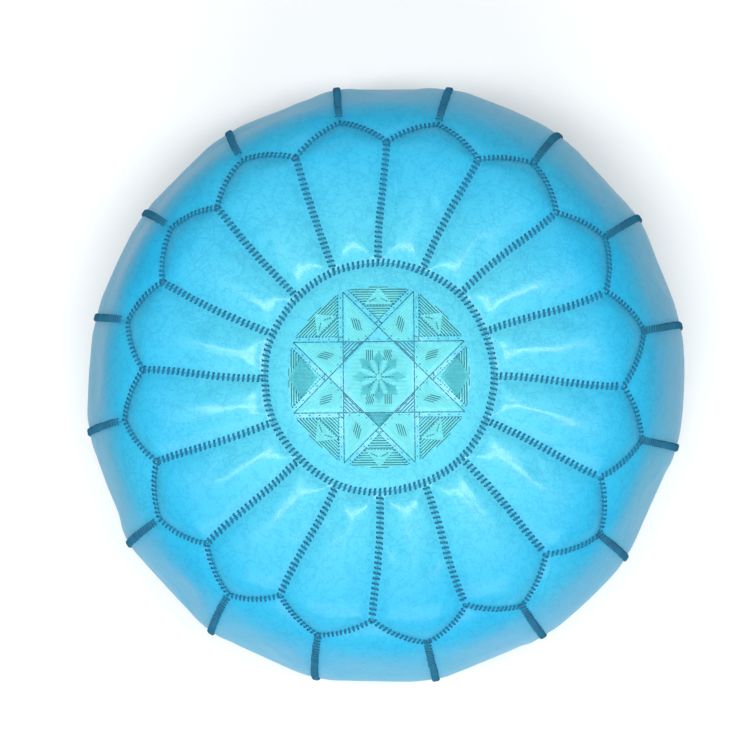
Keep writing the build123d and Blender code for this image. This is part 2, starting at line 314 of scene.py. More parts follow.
def face_outwards(bm: bmesh.types.BMesh, middle: Vector) -> None:
    """Turns an open sheet over if it faces a middle point rather than away from it."""
    bm.normal_update()
    facing = sum(f.normal.dot(f.calc_center_median() - middle) for f in bm.faces)
    if facing < 0:
        bmesh.ops.reverse_faces(bm, faces=bm.faces)


def settle(thing: bpy.types.Object, nodes: Sequence[str], body: str = BODY) -> None:
    """Makes a piece ride on its body and stand for its frame nodes, and logs its number of faces."""
    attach(thing, body)
    if nodes:
        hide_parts(*nodes)
    LOG.info("%s: %d faces", thing.name, len(thing.data.polygons))


def add_wall(thing: bpy.types.Object, thickness: float, levels: int) -> None:
    """Gives a sheet its thickness on the inside, then rounds it with a subdivision surface."""
    wall = thing.modifiers.new("wall", "SOLIDIFY")
    wall.thickness = thickness
    wall.offset = -1.0
    if levels:
        surface = thing.modifiers.new("surface", "SUBSURF")
        surface.levels = surface.render_levels = levels


# --- shader groups ---------------------------------------------------------------------------------------
class NodeTree:
    """A short way to write shader nodes."""

    def __init__(self, tree: bpy.types.NodeTree) -> None:
        """Keeps the tree that the nodes go into."""
        self.tree = tree

    def add(self, kind: str, links: dict | None = None, **settings: object) -> bpy.types.Node:
        """Adds a node.

        Args:
            kind: The node's type, without its ShaderNode prefix.
            links: A value or an output socket for each input, by name or number.
            **settings: Properties of the node itself.

        Returns:
            The new node.
        """
        node = self.tree.nodes.new("ShaderNode" + kind)
        for name, value in settings.items():
            setattr(node, name, value)
        for socket, value in (links or {}).items():
            if isinstance(value, Socket):
                self.tree.links.new(value, node.inputs[socket])
            else:
                node.inputs[socket].default_value = value
        return node

    def maths(self, operation: str, first: object, second: object = 0.0) -> Socket:
        """A number worked out from two others."""
        return self.add("Math", {0: first, 1: second}, operation=operation).outputs[0]

    def mix(self, share: object, first: object, second: object, blend: str = "MIX") -> Socket:
        """A colour mixed from two others."""
        links = {"Factor": share, "A": first, "B": second}
        node = self.tree.nodes.new("ShaderNodeMix")
        node.data_type, node.blend_type = "RGBA", blend
        sockets = {"Factor": node.inputs[0], "A": node.inputs[6], "B": node.inputs[7]}
        for name, value in links.items():
            if isinstance(value, Socket):
                self.tree.links.new(value, sockets[name])
            elif name == "Factor":
                sockets[name].default_value = value
            else:
                sockets[name].default_value = (*value, 1.0) if len(value) == 3 else value
        return node.outputs[2]

    def ramp(self, value: object, low: float, high: float) -> Socket:
        """A soft step of a value between two limits, from 0 to 1."""
        links = {"Value": value, "From Min": low, "From Max": high}
        return self.add("MapRange", links, interpolation_type="SMOOTHSTEP").outputs[0]

    def pattern(self, name: str, place: Socket, **numbers: float) -> Sequence[Socket]:
        """Places one of this file's shader groups, with its numbers, and gives its output sockets."""
        return self.add("Group", {"Place": place, **numbers}, node_tree=Groups.get(name)).outputs

    def relief(self, shader: bpy.types.Node, height: Socket, depth: float, strength: float) -> None:
        """Gives a shader a relief from a height."""
        bump = self.add("Bump", {"Height": height, "Strength": strength, "Distance": depth})
        self.tree.links.new(bump.outputs[0], shader.inputs["Normal"])


def new_group(name: str, inputs: dict[str, float], outputs: Iterable[str]) -> tuple[NodeTree, dict, dict]:
    """Starts a shader group.

    Args:
        name: Name of the group.
        inputs: Default of each number that the group takes; a vector named Place is always first.
        outputs: Names of the numbers that the group gives.

    Returns:
        The group's tree, its input sockets and its output sockets, each by name.
    """
    tree = bpy.data.node_groups.new(name, "ShaderNodeTree")
    tree.interface.new_socket("Place", in_out="INPUT", socket_type="NodeSocketVector")
    for label, value in inputs.items():
        tree.interface.new_socket(label, in_out="INPUT", socket_type="NodeSocketFloat").default_value = value
    for label in outputs:
        tree.interface.new_socket(label, in_out="OUTPUT", socket_type="NodeSocketFloat")
    taken = tree.nodes.new("NodeGroupInput").outputs
    given = tree.nodes.new("NodeGroupOutput").inputs
    return NodeTree(tree), {s.name: s for s in taken}, {s.name: s for s in given}


def grain_group() -> bpy.types.NodeTree:
    """Leather grain: pebbles, pores, creases and crinkles as a height, and patches as a mask."""
    numbers = {"Pebble": 900.0, "Crease": 0.35}
    nodes, taken, given = new_group("leather_grain", numbers, ("Height", "Patches"))
    place = taken["Place"]
    stir = nodes.add("TexNoise", {"Vector": place, "Scale": 60.0, "Detail": 2.0})
    shifted = nodes.add("VectorMath", {0: stir.outputs["Color"], "Scale": 0.004}, operation="SCALE")
    moved = nodes.add("VectorMath", {0: place, 1: shifted.outputs[0]}, operation="ADD").outputs[0]
    pebbles = nodes.add(
        "TexVoronoi", {"Vector": moved, "Scale": taken["Pebble"]}, feature="SMOOTH_F1"
    ).outputs["Distance"]
    pores = nodes.add("TexNoise", {"Vector": moved, "Scale": 420.0, "Detail": 4.0, "Roughness": 0.6})
    creases = nodes.add("TexVoronoi", {"Vector": moved, "Scale": 46.0}, feature="DISTANCE_TO_EDGE")
    fine = nodes.ramp(creases.outputs["Distance"], 0.0, 0.05)
    reach = nodes.ramp(nodes.add("TexNoise", {"Vector": place, "Scale": 14.0}).outputs["Fac"], 0.5, 0.7)
    lines = nodes.maths("MULTIPLY", nodes.maths("SUBTRACT", 1.0, fine), reach)
    crinkle = nodes.add("TexNoise", {"Vector": moved, "Scale": 75.0, "Detail": 3.0, "Roughness": 0.6})
    from_middle = nodes.maths("SUBTRACT", crinkle.outputs["Fac"], 0.5)
    folds = nodes.ramp(nodes.maths("ABSOLUTE", from_middle), 0.05, 0.0)
    creased = nodes.maths("MULTIPLY", lines, taken["Crease"])
    dips = nodes.maths("ADD", creased, nodes.maths("MULTIPLY", folds, 0.3))
    bumps = nodes.maths("ADD", nodes.maths("MULTIPLY", pebbles, 0.5), pores.outputs["Fac"])
    nodes.tree.links.new(nodes.maths("SUBTRACT", bumps, dips), given["Height"])
    patches = nodes.add("TexNoise", {"Vector": place, "Scale": 7.0, "Detail": 3.0, "Roughness": 0.55})
    nodes.tree.links.new(nodes.ramp(patches.outputs["Fac"], 0.3, 0.7), given["Patches"])
    return nodes.tree


def fibre_group() -> bpy.types.NodeTree:
    """Thread and cloth fibres: fine streaks as a height, and uneven dye as a mask."""
    nodes, taken, given = new_group("fibres", {"Fineness": 1500.0}, ("Height", "Dye"))
    place = taken["Place"]
    streaks = nodes.add("TexNoise", {"Vector": place, "Scale": taken["Fineness"], "Detail": 3.0})
    nodes.tree.links.new(streaks.outputs["Fac"], given["Height"])
    dye = nodes.add("TexNoise", {"Vector": place, "Scale": 90.0, "Detail": 3.0, "Roughness": 0.6})
    nodes.tree.links.new(nodes.ramp(dye.outputs["Fac"], 0.3, 0.7), given["Dye"])
    return nodes.tree


def weave_group() -> bpy.types.NodeTree:
    """A plain weave of two crossing sets of yarns, as a height."""
    nodes, taken, given = new_group("plain_weave", {"Yarns": 1400.0}, ("Height",))
    apart = nodes.add("SeparateXYZ", {0: taken["Place"]})
    waves = []
    for axis in ("X", "Y"):
        waves.append(nodes.maths("SINE", nodes.maths("MULTIPLY", apart.outputs[axis], taken["Yarns"])))
    crossed = nodes.maths("ABSOLUTE", nodes.maths("MULTIPLY", waves[0], waves[1]))
    nodes.tree.links.new(crossed, given["Height"])
    return nodes.tree


class Groups:
    """The shader groups, each built once."""

    made: dict[str, bpy.types.NodeTree] = {}
    makers: dict[str, Callable[[], bpy.types.NodeTree]] = {
        "grain": grain_group,
        "fibres": fibre_group,
        "weave": weave_group,
    }

    @classmethod
    def get(cls, name: str) -> bpy.types.NodeTree:
        """The group of a name, made at its first use."""
        if name not in cls.made:
            cls.made[name] = cls.makers[name]()
        return cls.made[name]


# --- finishes --------------------------------------------------------------------------------------------
def start_material(name: str) -> tuple[NodeTree, bpy.types.Node, Socket]:
    """Starts a material.

    Args:
        name: Name of the material.

    Returns:
        Its node tree, its surface shader and the place on the object that patterns read.
    """
    material = bpy.data.materials.new(name)
    material.use_nodes = True
    nodes = NodeTree(material.node_tree)
    shader = next(n for n in material.node_tree.nodes if n.type == "BSDF_PRINCIPLED")
    place = nodes.add("TexCoord").outputs["Object"]
    return nodes, shader, place


@dataclass(frozen=True)
class LeatherFinish:
    """Dyed and polished goat leather.

    Attributes:
        name: Name of the material.
        dye: Colour of the leather.
        deep: Darker colour, painted on as shade beside the seams and in the grain's pits and creases.
        pale: Paler colour of random patches, and of the top's middle: scuffing plus a painted highlight.
        roughness: How dull the polish is.
        polish: Strength of the wax coat.
        pebble: Pebbles of the grain to the metre.
        relief: Depth of the grain.
    """

    name: str
    dye: Colour
    deep: Colour
    pale: Colour
    roughness: float = 0.38
    polish: float = 0.2
    pebble: float = 900.0
    relief: float = 0.00024

    def material(self) -> bpy.types.Material:
        """Builds the material."""
        nodes, shader, place = start_material(self.name)
        grain = nodes.pattern("grain", place, Pebble=self.pebble)
        patches, height = grain["Patches"], grain["Height"]
        seam = nodes.add("Attribute", attribute_name="seam").outputs["Fac"]
        wear = nodes.add("Attribute", attribute_name="wear").outputs["Fac"]
        colour = nodes.mix(nodes.maths("MULTIPLY", patches, 0.3), self.dye, self.pale)
        # Paler towards the middle of the top: scuffing from use plus a painted broad highlight.
        colour = nodes.mix(wear, colour, self.pale)
        # Painted shade: the leather darkens towards its deep colour beside the seams.
        colour = nodes.mix(nodes.maths("MULTIPLY", seam, 0.15), colour, self.deep)
        # Painted shade: the grain's pits and creases darken towards the deep colour.
        pits = nodes.maths("MULTIPLY", nodes.ramp(height, 0.75, 0.45), 0.25)
        colour = nodes.mix(pits, colour, self.deep)
        nodes.tree.links.new(colour, shader.inputs["Base Color"])
        rough = nodes.maths("ADD", nodes.maths("MULTIPLY", patches, 0.07), self.roughness - 0.03)
        rough = nodes.maths("ADD", rough, nodes.maths("MULTIPLY", seam, 0.12))
        nodes.tree.links.new(rough, shader.inputs["Roughness"])
        nodes.relief(shader, height, self.relief, 1.0)
        facing = nodes.add("LayerWeight", {"Blend": 0.5}).outputs["Facing"]
        gloss = nodes.maths("SUBTRACT", 1.0, nodes.maths("MULTIPLY", facing, 0.85))
        nodes.tree.links.new(nodes.maths("MULTIPLY", gloss, self.polish), shader.inputs["Coat Weight"])
        shader.inputs["Specular IOR Level"].default_value = 0.12
        shader.inputs["Coat Roughness"].default_value = 0.18
        return bpy.data.materials[self.name]


@dataclass(frozen=True)
class ThreadFinish:
    """Twisted thread or spun fibre.

    Attributes:
        name: Name of the material.
        dye: Colour of the thread.
        deep: Colour of the darker lengths, and of the painted shade between the fibres.
        roughness: How dull it is.
        sheen: Strength of the soft sheen of its fibres.
        fineness: Fibres to the metre.
        relief: Depth of the fibres.
    """

    name: str
    dye: Colour
    deep: Colour
    roughness: float = 0.5
    sheen: float = 0.3
    fineness: float = 1500.0
    relief: float = 0.0002

    def material(self) -> bpy.types.Material:
        """Builds the material."""
        nodes, shader, place = start_material(self.name)
        fibres = nodes.pattern("fibres", place, Fineness=self.fineness)
        colour = nodes.mix(fibres["Dye"], self.dye, self.deep)
        # Painted shade: the fibres' low streaks darken towards the deep colour.
        shade = nodes.ramp(fibres["Height"], 0.7, 0.3)
        colour = nodes.mix(nodes.maths("MULTIPLY", shade, 0.5), colour, self.deep)
        nodes.tree.links.new(colour, shader.inputs["Base Color"])
        rough = nodes.maths("ADD", nodes.maths("MULTIPLY", shade, 0.15), self.roughness)
        nodes.tree.links.new(rough, shader.inputs["Roughness"])
        nodes.relief(shader, fibres["Height"], self.relief, 1.0)
        shader.inputs["Sheen Weight"].default_value = self.sheen
        return bpy.data.materials[self.name]


@dataclass(frozen=True)
class ClothFinish:
    """Plain woven cloth.

    Attributes:
        name: Name of the material.
        dye: Colour of the yarns.
        deep: Darker colour of the uneven dye, and of the painted shade in the gaps between the yarns.
        yarns: Radians of the weave to the metre.
        relief: Depth of the weave.
    """

    name: str
    dye: Colour
    deep: Colour
    yarns: float = 3600.0
    relief: float = 0.0003

    def material(self) -> bpy.types.Material:
        """Builds the material."""
        nodes, shader, place = start_material(self.name)
        weave, fibres = nodes.pattern("weave", place, Yarns=self.yarns), nodes.pattern("fibres", place)
        # Painted shade: the gaps between the yarns darken towards the deep colour.
        gaps = nodes.ramp(weave["Height"], 0.35, 0.0)
        colour = nodes.mix(nodes.maths("MULTIPLY", gaps, 0.7), self.dye, self.deep)
        patchy = nodes.maths("MULTIPLY", fibres["Dye"], 0.25)
        colour = nodes.mix(patchy, colour, self.deep)
        nodes.tree.links.new(colour, shader.inputs["Base Color"])
        rough = nodes.maths("ADD", nodes.maths("MULTIPLY", gaps, 0.1), 0.8)
        nodes.tree.links.new(rough, shader.inputs["Roughness"])
        nodes.relief(shader, weave["Height"], self.relief, 1.0)
        shader.inputs["Sheen Weight"].default_value = 0.2
        return bpy.data.materials[self.name]


@dataclass(frozen=True)
class HardFinish:
    """Cast metal or drawn nylon, scuffed at its edges.

    Attributes:
        name: Name of the material.
        colour: Colour of the surface.
        tarnish: Colour of the dull patches.
        metallic: 1 for metal and 0 for plastic.
        roughness: How dull it is.
    """

    name: str
    colour: Colour
    tarnish: Colour
    metallic: float = 1.0
    roughness: float = 0.32

    def material(self) -> bpy.types.Material:
        """Builds the material."""
        nodes, shader, place = start_material(self.name)
        fibres = nodes.pattern("fibres", place, Fineness=2500.0)
        patches = nodes.maths("MULTIPLY", fibres["Dye"], 0.6)
        nodes.tree.links.new(nodes.mix(patches, self.colour, self.tarnish), shader.inputs["Base Color"])
        rough = nodes.maths("ADD", nodes.maths("MULTIPLY", fibres["Dye"], 0.2), self.roughness)
        nodes.tree.links.new(rough, shader.inputs["Roughness"])
        nodes.relief(shader, fibres["Height"], 0.00005, 0.6)
        shader.inputs["Metallic"].default_value = self.metallic
        return bpy.data.materials[self.name]


class Finish(Enum):
    """Every finish of the pouf."""

    COVER = LeatherFinish("dyed_leather", (0.016, 0.35, 0.59), (0.008, 0.21, 0.42), (0.078, 0.47, 0.6))
    BASE = LeatherFinish("base_hide", (0.012, 0.29, 0.5), (0.006, 0.17, 0.33), (0.022, 0.33, 0.52), 0.5, 0.1)
    BRAID = ThreadFinish("twisted_thread", (0.004, 0.15, 0.26), (0.002, 0.1, 0.19), 0.75, 0.0)
    PALE_SILK = ThreadFinish("pale_silk", (0.145, 0.65, 0.68), (0.115, 0.57, 0.6), 0.4, 0.1)
    FULL_SILK = ThreadFinish("full_silk", (0.035, 0.42, 0.5), (0.025, 0.35, 0.43), 0.4, 0.1)
    DARK_SILK = ThreadFinish("dark_silk", (0.02, 0.19, 0.23), (0.01, 0.13, 0.17), 0.6, 0.0)
    SEWING = ThreadFinish("sewing_thread", (0.01, 0.2, 0.36), (0.004, 0.1, 0.2), 0.5)
    COTTON = ClothFinish("cotton_weave", (0.78, 0.73, 0.62), (0.42, 0.37, 0.28))
    WADDING = ThreadFinish("loose_wadding", (0.82, 0.79, 0.72), (0.6, 0.55, 0.46), 0.9, 0.5, 260.0, 0.002)
    TAPE = ClothFinish("tape_weave", (0.008, 0.13, 0.25), (0.002, 0.05, 0.1), 5200.0)
    NYLON = HardFinish("nylon_wire", (0.01, 0.15, 0.28), (0.006, 0.1, 0.2), 0.0, 0.28)
    BRASS = HardFinish("cast_brass", (0.72, 0.55, 0.28), (0.4, 0.28, 0.13))

    def dress(self, *things: bpy.types.Object) -> None:
        """Gives the finish to some pieces."""
        material = bpy.data.materials.get(self.value.name) or self.value.material()
        for thing in things:
            thing.data.materials.clear()
            thing.data.materials.append(material)


# --- the padded panels -----------------------------------------------------------------------------------
@dataclass
class Padding:
    """How the panels of one sub-assembly puff out between their seams.

    Attributes:
        crown: Height of the first rough crown, before simulation.
        reach: Distance from a seam over which the crown rises.
        slack: Share of spare leather.
        pressure: Pressure of the stuffing.
        cap: Furthest that simulation may move a point.
        bending: Stiffness of the leather against bending.
        swell: Height of the broad unevenness of the stuffing.
        ripple: Height of the fine unevenness.
        pucker: Height of the creases that run from a seam into the panel.
        frames: Number of simulated frames.
        seed: Seed of the first ripples.
        fill: How full the panels are, from 0 to 1; not used.
        swell_rate: How fast the broad unevenness changes, to the metre.
        ripple_rate: How fast the fine unevenness changes, to the metre.
        crease_rates: How fast the creases change round the axis and outwards.
        crease_gaps: Gaps to the seam between which the creases fade out.
    """

    crown: float
    reach: float
    slack: float
    pressure: float
    cap: float
    bending: float = 25.0
    swell: float = 0.0010
    ripple: float = 0.0002
    pucker: float = 0.0004
    frames: int = 14
    seed: int = 1
    fill: float = 0.85
    swell_rate: float = 11.0
    ripple_rate: float = 34.0
    crease_rates: tuple[float, float] = (21.0, 12.0)
    crease_gaps: tuple[float, float] = (0.012, 0.034)

    def rough(self, bm: bmesh.types.BMesh, gaps: dict[int, float], normals: dict[int, Vector]) -> None:
        """Lifts the points of a panel to a rough crown with faint ripples.

        Args:
            bm: The panel.
            gaps: Distance of each point from the stitched band nearest to it, by the point's number.
            normals: Outward direction at each point, by the point's number.
        """
        for vert in bm.verts:
            gap = gaps[vert.index]
            rise = self.crown * (1 - math.exp(-gap / self.reach)) if gap > 0 else 0.0
            ripple = noise.noise(vert.co * self.ripple_rate + Vector((self.seed * 3.7, 0.0, 0.0)))
            swell = noise.noise(vert.co * self.swell_rate + Vector((0.0, self.seed * 5.1, 0.0)))
            rise += (self.ripple * ripple + self.swell * swell) * smooth(gap, 0.0, 0.02)
            radius, angle = math.hypot(vert.co.x, vert.co.y), math.atan2(vert.co.y, vert.co.x)
            turn_rate, out_rate = self.crease_rates
            pucker = noise.noise(Vector((angle * turn_rate, radius * out_rate, self.seed * 2.3)))
            rise += self.pucker * pucker * smooth(gap, 0.0, 0.006) * (1 - smooth(gap, *self.crease_gaps))
            vert.co = vert.co + normals[vert.index] * rise

    def simulate(self, thing: bpy.types.Object, pinned: list[int]) -> None:
        """Puffs a set of panels out by cloth simulation and keeps the result in their mesh.

        Args:
            thing: The panels, as one object of separate sheets.
            pinned: Numbers of the points that stitches hold.
        """
        mesh = thing.data
        before = [v.co.copy() for v in mesh.vertices]
        held = thing.vertex_groups.new(name="stitched")
        held.add(pinned, 1.0, "REPLACE")
        cloth = thing.modifiers.new("puff", "CLOTH")
        settings = cloth.settings
        settings.quality = 4
        settings.mass = 0.3
        settings.tension_stiffness = settings.compression_stiffness = 25.0
        settings.shear_stiffness = 15.0
        settings.bending_stiffness = self.bending
        settings.air_damping = 2.0
        settings.vertex_group_mass = held.name
        settings.pin_stiffness = 1.0
        settings.shrink_min = -self.slack
        settings.use_pressure = True
        settings.uniform_pressure_force = self.pressure
        settings.effector_weights.gravity = 0.0
        cloth.collision_settings.use_collision = False
        for number in range(1, self.frames + 1):
            bpy.context.scene.frame_set(number)
        graph = bpy.context.evaluated_depsgraph_get()
        moved = [v.co.copy() for v in thing.evaluated_get(graph).data.vertices]
        thing.modifiers.remove(cloth)
        thing.vertex_groups.clear()
        bpy.context.scene.frame_set(1)
        for vert, start, end in zip(mesh.vertices, before, moved):
            step = end - start
            if step.length > self.cap:
                step *= self.cap / step.length
            vert.co = start + step
            vert.co.z = max(vert.co.z, 0.0)
        mesh.update()


@dataclass
class Panel:
    """One leather panel, cut as a grid.

    Attributes:
        name: Name of the piece and of the frame node that it stands for.
        columns: Number of cells across.
        rows: Number of cells along.
        lay: Gives the angle, the run and the gap to the nearest stitched band of a grid point.
    """

    name: str
    columns: int
    rows: int
    lay: Callable[[float, float], tuple[float, float, float]]


@dataclass
class LeatherCover:
    """The upper cover: the medallion, the petals and the side panels.

    Attributes:
        form: The stuffed form that the panels lie on.
        band: Half the width that a seam's stitches hold flat.
        leather: Thickness of the leather.
        dip: How deep a seam lies under its band.
        cell: Size of a cell of the panels' grids.
        seam_shade_reach: Gap to the stitched band over which the leather darkens, a painted shade beside the
            seams.
        pale_top_runs: Runs over which the paler top fades out; scuffing plus a painted highlight.
    """

    form: StuffedForm
    band: float = 0.0037
    leather: float = 0.0018
    dip: float = 0.0007
    cell: float = 0.0042
    # Painted shade: how far from the stitched band the darkening beside the seams reaches.
    seam_shade_reach: float = 0.006
    # Painted highlight plus scuffing: the runs over which the paler middle of the top fades out.
    pale_top_runs: tuple[float, float] = (0.09, 0.23)

    def seam_gap(self, *distances: float) -> float:
        """Distance of a point beyond the stitched band of its nearest seam."""
        return min(distances) - self.band - 0.0001

    def petal(self, number: int) -> Panel:
        """One petal, between the medallion's seam and its own pointed edge."""
        form = self.form
        first = number * form.pitch
        inner = form.run_at(form.medallion)
        outer = form.run_at((form.valley + form.tip) / 2)
        widest = form.pitch * form.valley
        columns = round(widest / self.cell)
        rows = round((outer - inner) / self.cell)

        def lay(column: float, row: float) -> tuple[float, float, float]:
            """Angle, run and seam gap of a grid point of the petal."""
            middle_run = inner + row / rows * (outer - inner)
            radius = form.meridian(middle_run)[0]
            width = form.pitch * radius
            across = spread(column, columns, width, self.band)
            angle = first + across / radius
            length = form.run_at(form.edge_radius(angle)) - inner
            along = spread(row, rows, length, self.band)
            return angle, inner + along, self.seam_gap(across, width - across, along, length - along)

        return Panel(f"petal_{number + 1:02d}", columns, rows, lay)

    def side_panel(self, number: int) -> Panel:
        """One side panel, from the petals' points down and under to the base seam."""
        form = self.form
        first = (number + 0.5) * form.pitch
        top = form.run_at((form.valley + form.tip) / 2)
        end = form.base_run
        columns = round(form.pitch * form.outer_radius / self.cell)
        rows = round((end - top) / self.cell / 1.15)

        def lay(column: float, row: float) -> tuple[float, float, float]:
            """Angle, run and seam gap of a grid point of the side panel."""
            middle_run = top + row / rows * (end - top)
            radius = form.meridian(middle_run)[0]
            width = form.pitch * radius
            across = spread(column, columns, width, self.band)
            angle = first + across / radius
            start = form.run_at(form.edge_radius(angle))
            along = spread(row, rows, end - start, self.band)
            return angle, start + along, self.seam_gap(across, width - across, along, end - start - along)

        return Panel(f"side_panel_{number + 1:02d}", columns, rows, lay)

    def medallion(self) -> Panel:
        """The round centre of the top, its grid drawn out to a disc."""
        form = self.form
        rim = form.run_at(form.medallion)
        count = 2 * round(rim / self.cell)

        def lay(column: float, row: float) -> tuple[float, float, float]:
            """Angle, run and seam gap of a grid point of the medallion."""
            x, y = 2 * column / count - 1, 2 * row / count - 1
            share = max(abs(x), abs(y))
            if share == 0:
                return 0.0, 0.0, rim
            turn = (math.pi / 4) * (min(abs(x), abs(y)) / share)
            if abs(x) >= abs(y):
                angle = math.copysign(turn, x * y) + (0.0 if x > 0 else math.pi)
            else:
                angle = math.pi / 2 - math.copysign(turn, x * y) + (0.0 if y > 0 else math.pi)
            ring = round(share * count / 2)
            run = rim - spread(count // 2 - ring, count // 2 + 2, rim, self.band) if ring else 0.0
            return angle, run, self.seam_gap(rim - run)

        return Panel("medallion", count, count, lay)

    def sew(self, panels: list[Panel], padding: Padding) -> list[bpy.types.Object]:
        """Cuts a set of panels, puffs them out together and returns them as separate pieces.

        Args:
            panels: The panels of one sub-assembly.
            padding: How they puff out.

        Returns:
            One object for each panel, with its wall, finish and body.
        """
        joint, counts, pinned = bmesh.new(), [], []
        edges: list[float] = []
        wear_and_sheen_shares: list[float] = []
        for panel in panels:
            bm = grid(panel.columns, panel.rows)
            gaps, normals = {}, {}
            bm.verts.index_update()
            for vert in bm.verts:
                column, row = vert.co.x, vert.co.y
                angle, run, gap = panel.lay(column, row)
                border = column in (0, panel.columns) or row in (0, panel.rows)
                vert.co = self.form.place(angle, run, -self.dip if border else 0.0)
                gaps[vert.index] = gap
                normals[vert.index] = self.form.normal(angle, run)
                # Painted shade beside the seams: the share by which each point darkens towards the deep
                # colour.
                edges.append(1 - smooth(gap, -self.band, self.seam_shade_reach))
                # Paler middle of the top: scuffing from use plus a painted broad highlight.
                wear_and_sheen_shares.append(1 - smooth(run, *self.pale_top_runs))
                if gap <= 0:
                    pinned.append(sum(counts) + vert.index)
            padding.seed += 1
            padding.rough(bm, gaps, normals)
            face_outwards(bm, Vector((0, 0, self.form.belly_height)))
            part = bpy.data.meshes.new("part")
            bm.to_mesh(part)
            joint.from_mesh(part)
            bpy.data.meshes.remove(part)
            counts.append(len(bm.verts))
            bm.free()
        sheets = finish_mesh("sheets", joint)
        padding.simulate(sheets, pinned)
        pieces = []
        for number, panel in enumerate(panels):
            start = sum(counts[:number])
            chosen = set(range(start, start + counts[number]))
            bm = bmesh.new()
            bm.from_mesh(sheets.data)
            bmesh.ops.delete(bm, geom=[v for v in bm.verts if v.index not in chosen], context="VERTS")
            piece = finish_mesh(f"{panel.name}_leather", bm)
            for label, values in (("seam", edges), ("wear", wear_and_sheen_shares)):
                shade = piece.data.attributes.new(label, "FLOAT", "POINT")
                shade.data.foreach_set("value", values[start : start + counts[number]])
            add_wall(piece, self.leather, 1)
            pieces.append(piece)
            settle(piece, [panel.name])
        bpy.data.objects.remove(sheets)
        Finish.COVER.dress(*pieces)
        return pieces

    def build(self) -> dict[str, bpy.types.Object]:
        """Sews the medallion, the petals and the side panels.

        Returns:
            The pieces, by name.
        """
        everywhere = range(self.form.panels)
        pieces = self.sew([self.medallion()], Padding(0.0036, 0.012, 0.001, 1.0, 0.006))
        petals = Padding(0.0058, 0.011, 0.003, 2.2, 0.007, seed=9)
        pieces += self.sew([self.petal(n) for n in everywhere], petals)
        sides = Padding(0.0016, 0.012, 0.002, 0.8, 0.006, swell=0.0016, seed=40)
        pieces += self.sew([self.side_panel(n) for n in everywhere], sides)
        return {piece.name: piece for piece in pieces}


# --- the stitches over the seams -------------------------------------------------------------------------
def tube(points: Sequence[Vector], radius: float, sides: int = 5) -> bmesh.types.BMesh:
    """A thread along some points, drawn in to a closed point at each end.

    Args:
        points: The points that the thread's middle follows.
        radius: Radius of the thread.
        sides: Number of faces round it.

    Returns:
        The thread as a new bmesh.
    """
    last = len(points) - 1
    steps = [points[min(n + 1, last)] - points[max(n - 1, 0)] for n in range(last + 1)]
    turns = [steps[0].to_track_quat("Z", "Y")]
    for before, after in zip(steps, steps[1:]):
        turns.append(before.rotation_difference(after) @ turns[-1])
    bm = grid(sides, last + 2)
    for vert in bm.verts:
        around, row = 2 * math.pi * vert.co.x / sides, round(vert.co.y)
        knot = min(max(row - 1, 0), last)
        size = 0.0 if row in (0, last + 2) else radius
        vert.co = points[knot] + turns[knot] @ Vector((math.cos(around) * size, math.sin(around) * size, 0))
    bmesh.ops.remove_doubles(bm, verts=bm.verts, dist=radius * 0.01)
    bmesh.ops.recalc_face_normals(bm, faces=bm.faces)
    return bm


def join(target: bmesh.types.BMesh, part: bmesh.types.BMesh) -> None:
    """Adds one bmesh to another and frees it."""
    mesh = bpy.data.meshes.new("part")
    part.to_mesh(mesh)
    part.free()
    target.from_mesh(mesh)
    bpy.data.meshes.remove(mesh)


@dataclass(frozen=True)
class Stitch:
    """One thick stitch: a slanted bar across the seam, hooked along both edges.

    Attributes:
        width: Distance between its outer edges.
        pitch: Distance from one stitch to the next.
        slant: How far its two halves lean along the seam.
        thread: Radius of the thread.
        crown: Height of the bar's middle over the leather.
    """

    width: float = 0.0068
    pitch: float = 0.00435
    slant: float = 0.0001
    thread: float = 0.00086
    crown: float = 0.0009

    def path(self) -> list[Vector]:
        """Points that the thread follows: along, across and up."""
        half = self.width / 2 - self.thread
        side = [
            Vector((0.0, 0.0, self.crown * 0.9)),
            Vector((self.slant * 0.6, half * 0.6, self.crown)),
            Vector((self.slant, half * 0.95, self.crown * 0.5)),
            Vector((self.slant + self.pitch * 0.16, half * 1.05, -self.thread * 0.4)),
            Vector((self.slant + self.pitch * 0.3, half * 0.95, -self.thread * 1.5)),
        ]
        return [Vector((-p.x, -p.y, p.z)) for p in reversed(side[1:])] + side


